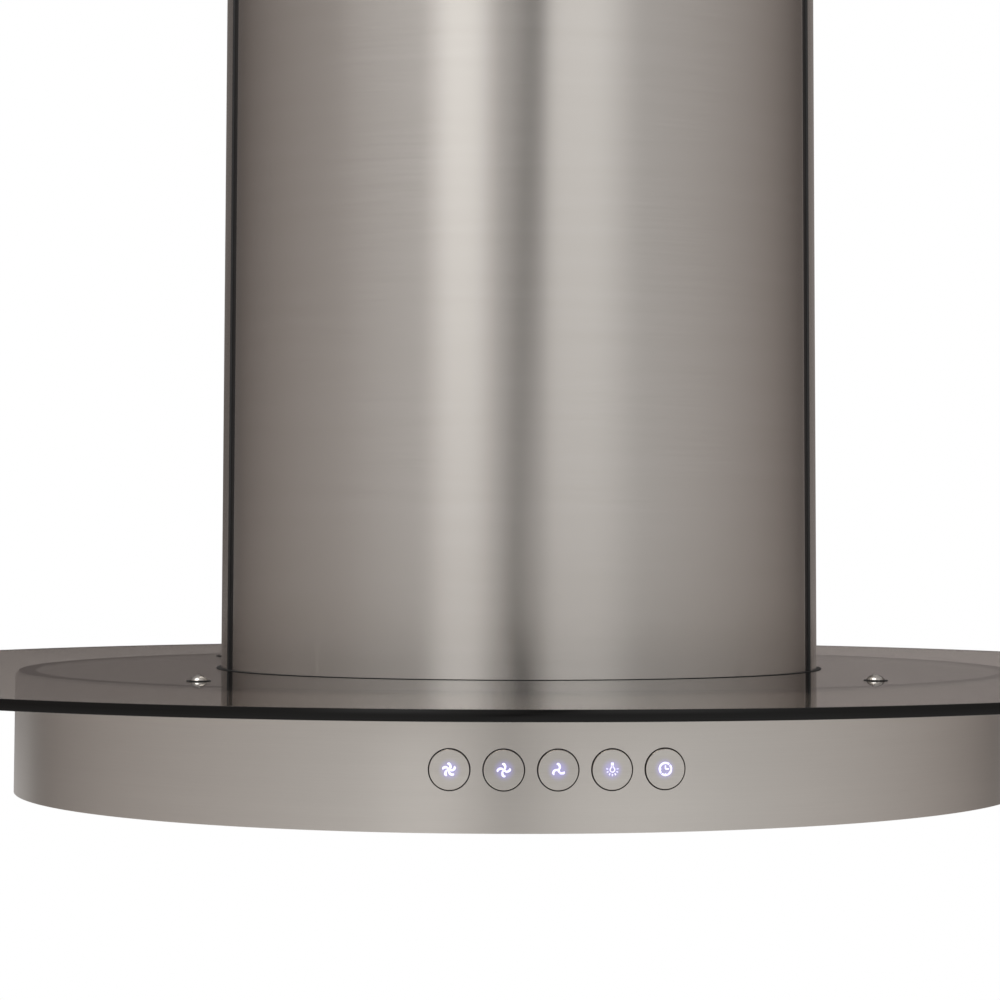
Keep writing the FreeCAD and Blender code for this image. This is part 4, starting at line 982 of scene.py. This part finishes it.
@dataclass
class DomeScrews:
    """Four nickel-plated screws with domed heads that clamp the glass."""

    seat: float = -879.7
    radius: float = 5.2
    rise: float = 3.3
    rim: float = 0.4
    shank_radius: float = 2.5
    shank_end: float = -898.9
    shank_chamfer: float = 0.4
    edge_break: float = 0.15
    dome_steps: int = 14
    turn_steps: int = 48

    def build(self) -> list[bpy.types.Object]:
        """Spin one screw and set it at the four bores.

        Returns:
            The screws, as one piece.
        """
        bm = bmesh.new()
        cap = self.rise - self.rim
        ball = (self.radius ** 2 + cap ** 2) / (2 * cap)
        reach = math.asin(self.radius / ball)
        outline = [Vector((0.0, 0.0, self.shank_end)),
                   Vector((self.shank_radius - self.shank_chamfer, 0.0, self.shank_end)),
                   Vector((self.shank_radius, 0.0, self.shank_end + self.shank_chamfer)),
                   Vector((self.shank_radius, 0.0, self.seat)),
                   Vector((self.radius - self.edge_break, 0.0, self.seat)),
                   Vector((self.radius, 0.0, self.seat + self.edge_break))]
        for k in range(self.dome_steps + 1):
            angle = reach * (1 - k / self.dome_steps)
            height = self.seat + self.rise - ball * (1 - math.cos(angle))
            outline.append(Vector((ball * math.sin(angle), 0.0, height)))
        verts = [bm.verts.new(point) for point in outline]
        edges = [bm.edges.new(pair) for pair in zip(verts, verts[1:])]
        bmesh.ops.spin(bm, geom=verts + edges, cent=Vector(), axis=Vector((0, 0, 1)),
                       dvec=Vector(), angle=2 * math.pi, steps=self.turn_steps,
                       use_merge=True)
        bmesh.ops.remove_doubles(bm, verts=bm.verts, dist=MERGE)
        screw = bm.verts[:] + bm.edges[:] + bm.faces[:]
        twin = bmesh.ops.duplicate(bm, geom=screw)["geom"]
        for half, (x, y) in ((screw, SCREW_FRONT), (twin, SCREW_REAR)):
            verts = [item for item in half if isinstance(item, bmesh.types.BMVert)]
            bmesh.ops.translate(bm, vec=Vector((x, y, 0.0)), verts=verts)
        bmesh.ops.mirror(bm, geom=bm.verts[:] + bm.edges[:] + bm.faces[:], merge_dist=0.0,
                         axis="X")
        return [finish_piece(bm, "canopy_dome_screws", "hood", [SATIN_NICKEL],
                             ["glass_screws"])]


class InnerWorks:
    """The solids that keep their shape: frame, blower, controls, lamps and filters."""

    def build(self) -> list[bpy.types.Object]:
        """Give every node of the frame the finish of its slot.

        Returns:
            The nodes, also those that finer pieces stand for later.
        """
        slots = {entry["node"]: entry["material_slot"]
                 for entry in frame["record"]["subparts"]}
        for name, node in frame["nodes"].items():
            finish = NODE_FINISH.get(name, SLOT_FINISH[slots[name]])
            node.data.materials.clear()
            node.data.materials.append(finish.material())
        return list(frame["nodes"].values())


# ---------------------------------------------------------------- studio
class Along(Enum):
    """What a step of brightness follows in the room round the hood."""

    BEARING = "degrees to the right of the hood's front"
    ASIDE = "degrees to either side of the hood's front"
    GAP = "degrees to the right of the dark gap, which leans to the right with height"
    RISE = "sine of the height"


@dataclass(frozen=True)
class Step:
    """A smooth change of brightness between two limits."""

    along: Along
    start: float
    end: float
    first: float = 0.0
    last: float = 1.0


BOX_TOP = Step(Along.RISE, 0.32, 0.6, 1.0, 0.12)
BEHIND = Step(Along.ASIDE, 115, 140)


@dataclass(frozen=True)
class Patch:
    """A patch of the room, as bright as the product of its steps."""

    steps: tuple[Step, ...]

    def light(self, tree: Tree, ways: dict[Along, Socket]) -> Socket:
        """Work out the patch's brightness in a direction.

        Args:
            tree: the world's tree.
            ways: the direction, as what each step can follow.

        Returns:
            The brightness.
        """
        light: Socket | float = 1.0
        for step in self.steps:
            eased = add_node(tree, "MapRange", {
                "Value": ways[step.along], "From Min": step.start, "From Max": step.end,
                "To Min": step.first, "To Max": step.last}, interpolation_type="SMOOTHSTEP")
            light = add_node(tree, "Math", {0: light, 1: eased.outputs["Result"]},
                             operation="MULTIPLY").outputs[0]
        return light


@dataclass(frozen=True)
class Room:
    """The world: a plain room that the metal mirrors, white where it is seen.

    The walls fall off to the sides, and two tall soft boxes stand in front with a dark gap
    between them.
    """

    walls: tuple[tuple[float, float], ...] = (
        (-180, 0.115), (-150, 0.1), (-128, 0.09), (-112, 0.17), (-80, 0.28), (-50, 0.38),
        (-28, 0.48), (30, 0.54), (50, 0.45), (80, 0.3), (100, 0.2), (118, 0.11), (150, 0.18),
        (165, 0.2), (180, 0.115))
    warm_below: float = 0.6  # brightness under which a wall turns warmer
    more_red: float = 0.2
    less_blue: float = 0.08
    # The left box and the right one.
    boxes: tuple[Patch, ...] = (
        Patch((Step(Along.BEARING, -27, -16), Step(Along.BEARING, -12, -3, 1.0, 0.0),
               Step(Along.RISE, -0.12, 0.34, 0.0, 1.03), BOX_TOP)),
        Patch((Step(Along.BEARING, 5, 10), Step(Along.BEARING, 19, 35, 1.0, 0.0),
               Step(Along.RISE, -0.06, 0.35, 0.0, 0.7), BOX_TOP)))
    ceiling: Patch = Patch((Step(Along.RISE, 0.35, 0.9, 0.0, 0.45),))
    worktop: Patch = Patch((Step(Along.RISE, -0.03, -0.14, 0.0, 0.09),))
    floor: Patch = Patch((Step(Along.RISE, -0.14, -0.6, 0.0, 0.3),))
    # The room behind, below the hood's level and above it.
    behind: tuple[Patch, ...] = (
        Patch((BEHIND, Step(Along.RISE, -0.05, -0.12, 0.0, 0.3))),
        Patch((BEHIND, Step(Along.RISE, 0.06, 0.12, 0.0, 0.04))))
    gap_lean: float = -15.5
    gap_shift: float = 0.3
    gap_sides: tuple[Patch, ...] = (
        Patch((Step(Along.GAP, -4.2, 0.2, 1.0, 0.0),)), Patch((Step(Along.GAP, 1.0, 3.2),)))
    gap_foot: Patch = Patch((Step(Along.RISE, -0.09, -0.15, 0.0, 0.8),))

    def wall_colour(self, level: float) -> Colour:
        """Work out the wall's colour at a brightness; the dim walls are warmer.

        Args:
            level: the brightness.

        Returns:
            The colour.
        """
        warmth = max(0.0, 1 - level / self.warm_below)
        return (level * (1 + self.more_red * warmth), level,
                level * (1 - self.less_blue * warmth), 1.0)

    def ways(self, tree: Tree) -> dict[Along, Socket]:
        """Work out a direction as what each step can follow.

        Args:
            tree: the world's tree.

        Returns:
            The direction in each of its forms.
        """
        ray = add_node(tree, "TexCoord").outputs["Generated"]
        parts = add_node(tree, "SeparateXYZ", {0: ray})
        rise = parts.outputs["Z"]
        ahead = add_node(tree, "Math", {0: parts.outputs["Y"], 1: -1.0}, operation="MULTIPLY")
        turn = add_node(tree, "Math", {0: parts.outputs["X"], 1: ahead.outputs[0]},
                        operation="ARCTAN2")
        bearing = add_node(tree, "Math", {0: turn.outputs[0], 1: 180 / math.pi},
                           operation="MULTIPLY").outputs[0]
        aside = add_node(tree, "Math", {0: bearing}, operation="ABSOLUTE")
        lean = add_node(tree, "Math", {
            0: rise, 1: self.gap_lean, 2: self.gap_shift}, operation="MULTIPLY_ADD")
        offset = add_node(tree, "Math", {0: bearing, 1: lean.outputs[0]}, operation="ADD")
        return {Along.BEARING: bearing, Along.ASIDE: aside.outputs[0], Along.RISE: rise,
                Along.GAP: offset.outputs[0]}

    def summed(self, tree: Tree, patches: tuple[Patch, ...],
               ways: dict[Along, Socket]) -> Socket:
        """Add up the light of some patches.

        Args:
            tree: the world's tree.
            patches: the patches.
            ways: the direction, as what each step can follow.

        Returns:
            Their brightness together.
        """
        total: Socket | float = 0.0
        for patch in patches:
            total = add_node(tree, "Math", {0: total, 1: patch.light(tree, ways)},
                             operation="ADD").outputs[0]
        return total

    def build(self) -> None:
        """Make the world from the light of each direction."""
        world = bpy.data.worlds.new("studio")
        bpy.context.scene.world = world
        world.use_nodes = True
        tree = world.node_tree
        tree.nodes.clear()
        ways = self.ways(tree)
        share = add_node(tree, "Math", {0: ways[Along.BEARING], 1: 1 / 360, 2: 0.5},
                         operation="MULTIPLY_ADD")
        walls = add_node(tree, "ValToRGB", {0: share.outputs[0]})
        fill_ramp(walls, [((angle + 180) / 360, self.wall_colour(level))
                          for angle, level in self.walls])
        patches = (*self.boxes, self.ceiling, self.worktop, self.floor, *self.behind)
        lit = add_node(tree, "VectorMath", {
            0: walls.outputs["Color"], 1: self.summed(tree, patches, ways)}, operation="ADD")
        gap = add_node(tree, "Math", {
            0: self.summed(tree, self.gap_sides, ways), 1: self.gap_foot.light(tree, ways)},
            operation="MAXIMUM")
        room = add_node(tree, "VectorMath", {
            0: lit.outputs["Vector"], "Scale": gap.outputs[0]}, operation="SCALE")
        # The background is white to the eye and through the glass; metal mirrors the room,
        # and light that a matt surface gathers through the glass comes from it as well.
        rays = add_node(tree, "LightPath")
        through = add_node(tree, "Math", {
            0: rays.outputs["Is Transmission Ray"], 1: rays.outputs["Diffuse Depth"]},
            operation="GREATER_THAN")
        seen = add_node(tree, "Math", {
            0: rays.outputs["Is Camera Ray"], 1: through.outputs[0]}, operation="MAXIMUM")
        shown = add_node(tree, "Mix", {
            MIX_SHARE: seen.outputs[0], MIX_FIRST: room.outputs["Vector"],
            MIX_SECOND: linear(WHITE)}, data_type="RGBA")
        backdrop = add_node(tree, "Background", {
            "Color": shown.outputs[MIX_RESULT], "Strength": 1.0})
        add_node(tree, "OutputWorld", {"Surface": backdrop.outputs[0]})


@dataclass
class Studio:
    """White paper floor, a soft lamp overhead and the camera of the photograph."""

    floor_level: float = -2500.0
    floor_radius: float = 3600.0
    floor_segments: int = 128
    lamp_place: tuple[float, float, float] = (-900.0, -900.0, 1900.0)
    lamp_target: tuple[float, float, float] = (0.0, 0.0, -700.0)
    lamp_side: float = 1400.0
    lamp_watts: float = 30.0
    camera_place: tuple[float, float, float] = (-122.66, -1262.34, -800.24)
    camera_yaw: float = 0.0647
    camera_pitch: float = 0.04837
    camera_roll: float = 0.00373
    lens: float = 72.37
    shift: tuple[float, float] = (0.0441, -0.0576)

    def lay_floor(self) -> None:
        """Lay the paper under the hood, at the level of a kitchen's floor."""
        bm = bmesh.new()
        bmesh.ops.create_circle(bm, cap_ends=True, segments=self.floor_segments,
                                radius=self.floor_radius)
        bmesh.ops.translate(bm, vec=Vector((0.0, 0.0, self.floor_level)), verts=bm.verts)
        floor = put_in_scene(bm, "studio_floor")
        floor.data.materials.append(PAPER.material())

    def hang_lamp(self) -> None:
        """Hang a square soft lamp that faces the canopy."""
        light = bpy.data.lights.new("lamp_over", "AREA")
        light.size = self.lamp_side * MM
        light.energy = self.lamp_watts
        lamp = bpy.data.objects.new("lamp_over", light)
        lamp.location = Vector(self.lamp_place) * MM
        sight = Vector(self.lamp_target) * MM - lamp.location
        lamp.rotation_euler = sight.to_track_quat("-Z", "Y").to_euler()
        bpy.context.scene.collection.objects.link(lamp)

    def place_camera(self) -> None:
        """Set up the camera where the photograph was taken from."""
        data = bpy.data.cameras.new("photo_camera")
        data.lens = self.lens
        data.shift_x, data.shift_y = self.shift
        camera = bpy.data.objects.new("photo_camera", data)
        yaw, pitch, roll = self.camera_yaw, self.camera_pitch, self.camera_roll
        ahead = Vector((math.sin(yaw) * math.cos(pitch), math.cos(yaw) * math.cos(pitch),
                        math.sin(pitch)))
        level = Vector((math.cos(yaw), -math.sin(yaw), 0.0))
        upright = level.cross(ahead)
        right = level * math.cos(roll) + upright * math.sin(roll)
        up = upright * math.cos(roll) - level * math.sin(roll)
        turn = Matrix((right, up, -ahead)).transposed().to_4x4()
        camera.matrix_world = Matrix.Translation(Vector(self.camera_place) * MM) @ turn
        bpy.context.scene.collection.objects.link(camera)
        bpy.context.scene.camera = camera

    def build(self) -> None:
        """Set up floor, lamp and camera."""
        self.lay_floor()
        self.hang_lamp()
        self.place_camera()
        bpy.context.scene.view_settings.view_transform = "Standard"


def main() -> None:
    """Build the hood from the glass up, dress it and set up the studio."""
    logging.basicConfig(level=logging.INFO, format="%(name)s: %(message)s")
    assemblies = (
        InnerWorks(),
        GlassCanopy(),
        ChimneyPart("lower_chimney", "hood", Oval(186.5, 118.5, 720), -879.7, 500.0),
        ChimneyPart("upper_chimney", "upper_chimney", Oval(183.5, 115.5, 720), -480.0, 478.0),
        BodySkirt(),
        DomeScrews())
    for assembly in assemblies:
        for piece in assembly.build():
            log.info("%s: %d faces, %s", piece.name, len(piece.data.polygons),
                     piece.data.materials[0].name)
    Room().build()
    Studio().build()


if __name__ == "__main__":
    main()
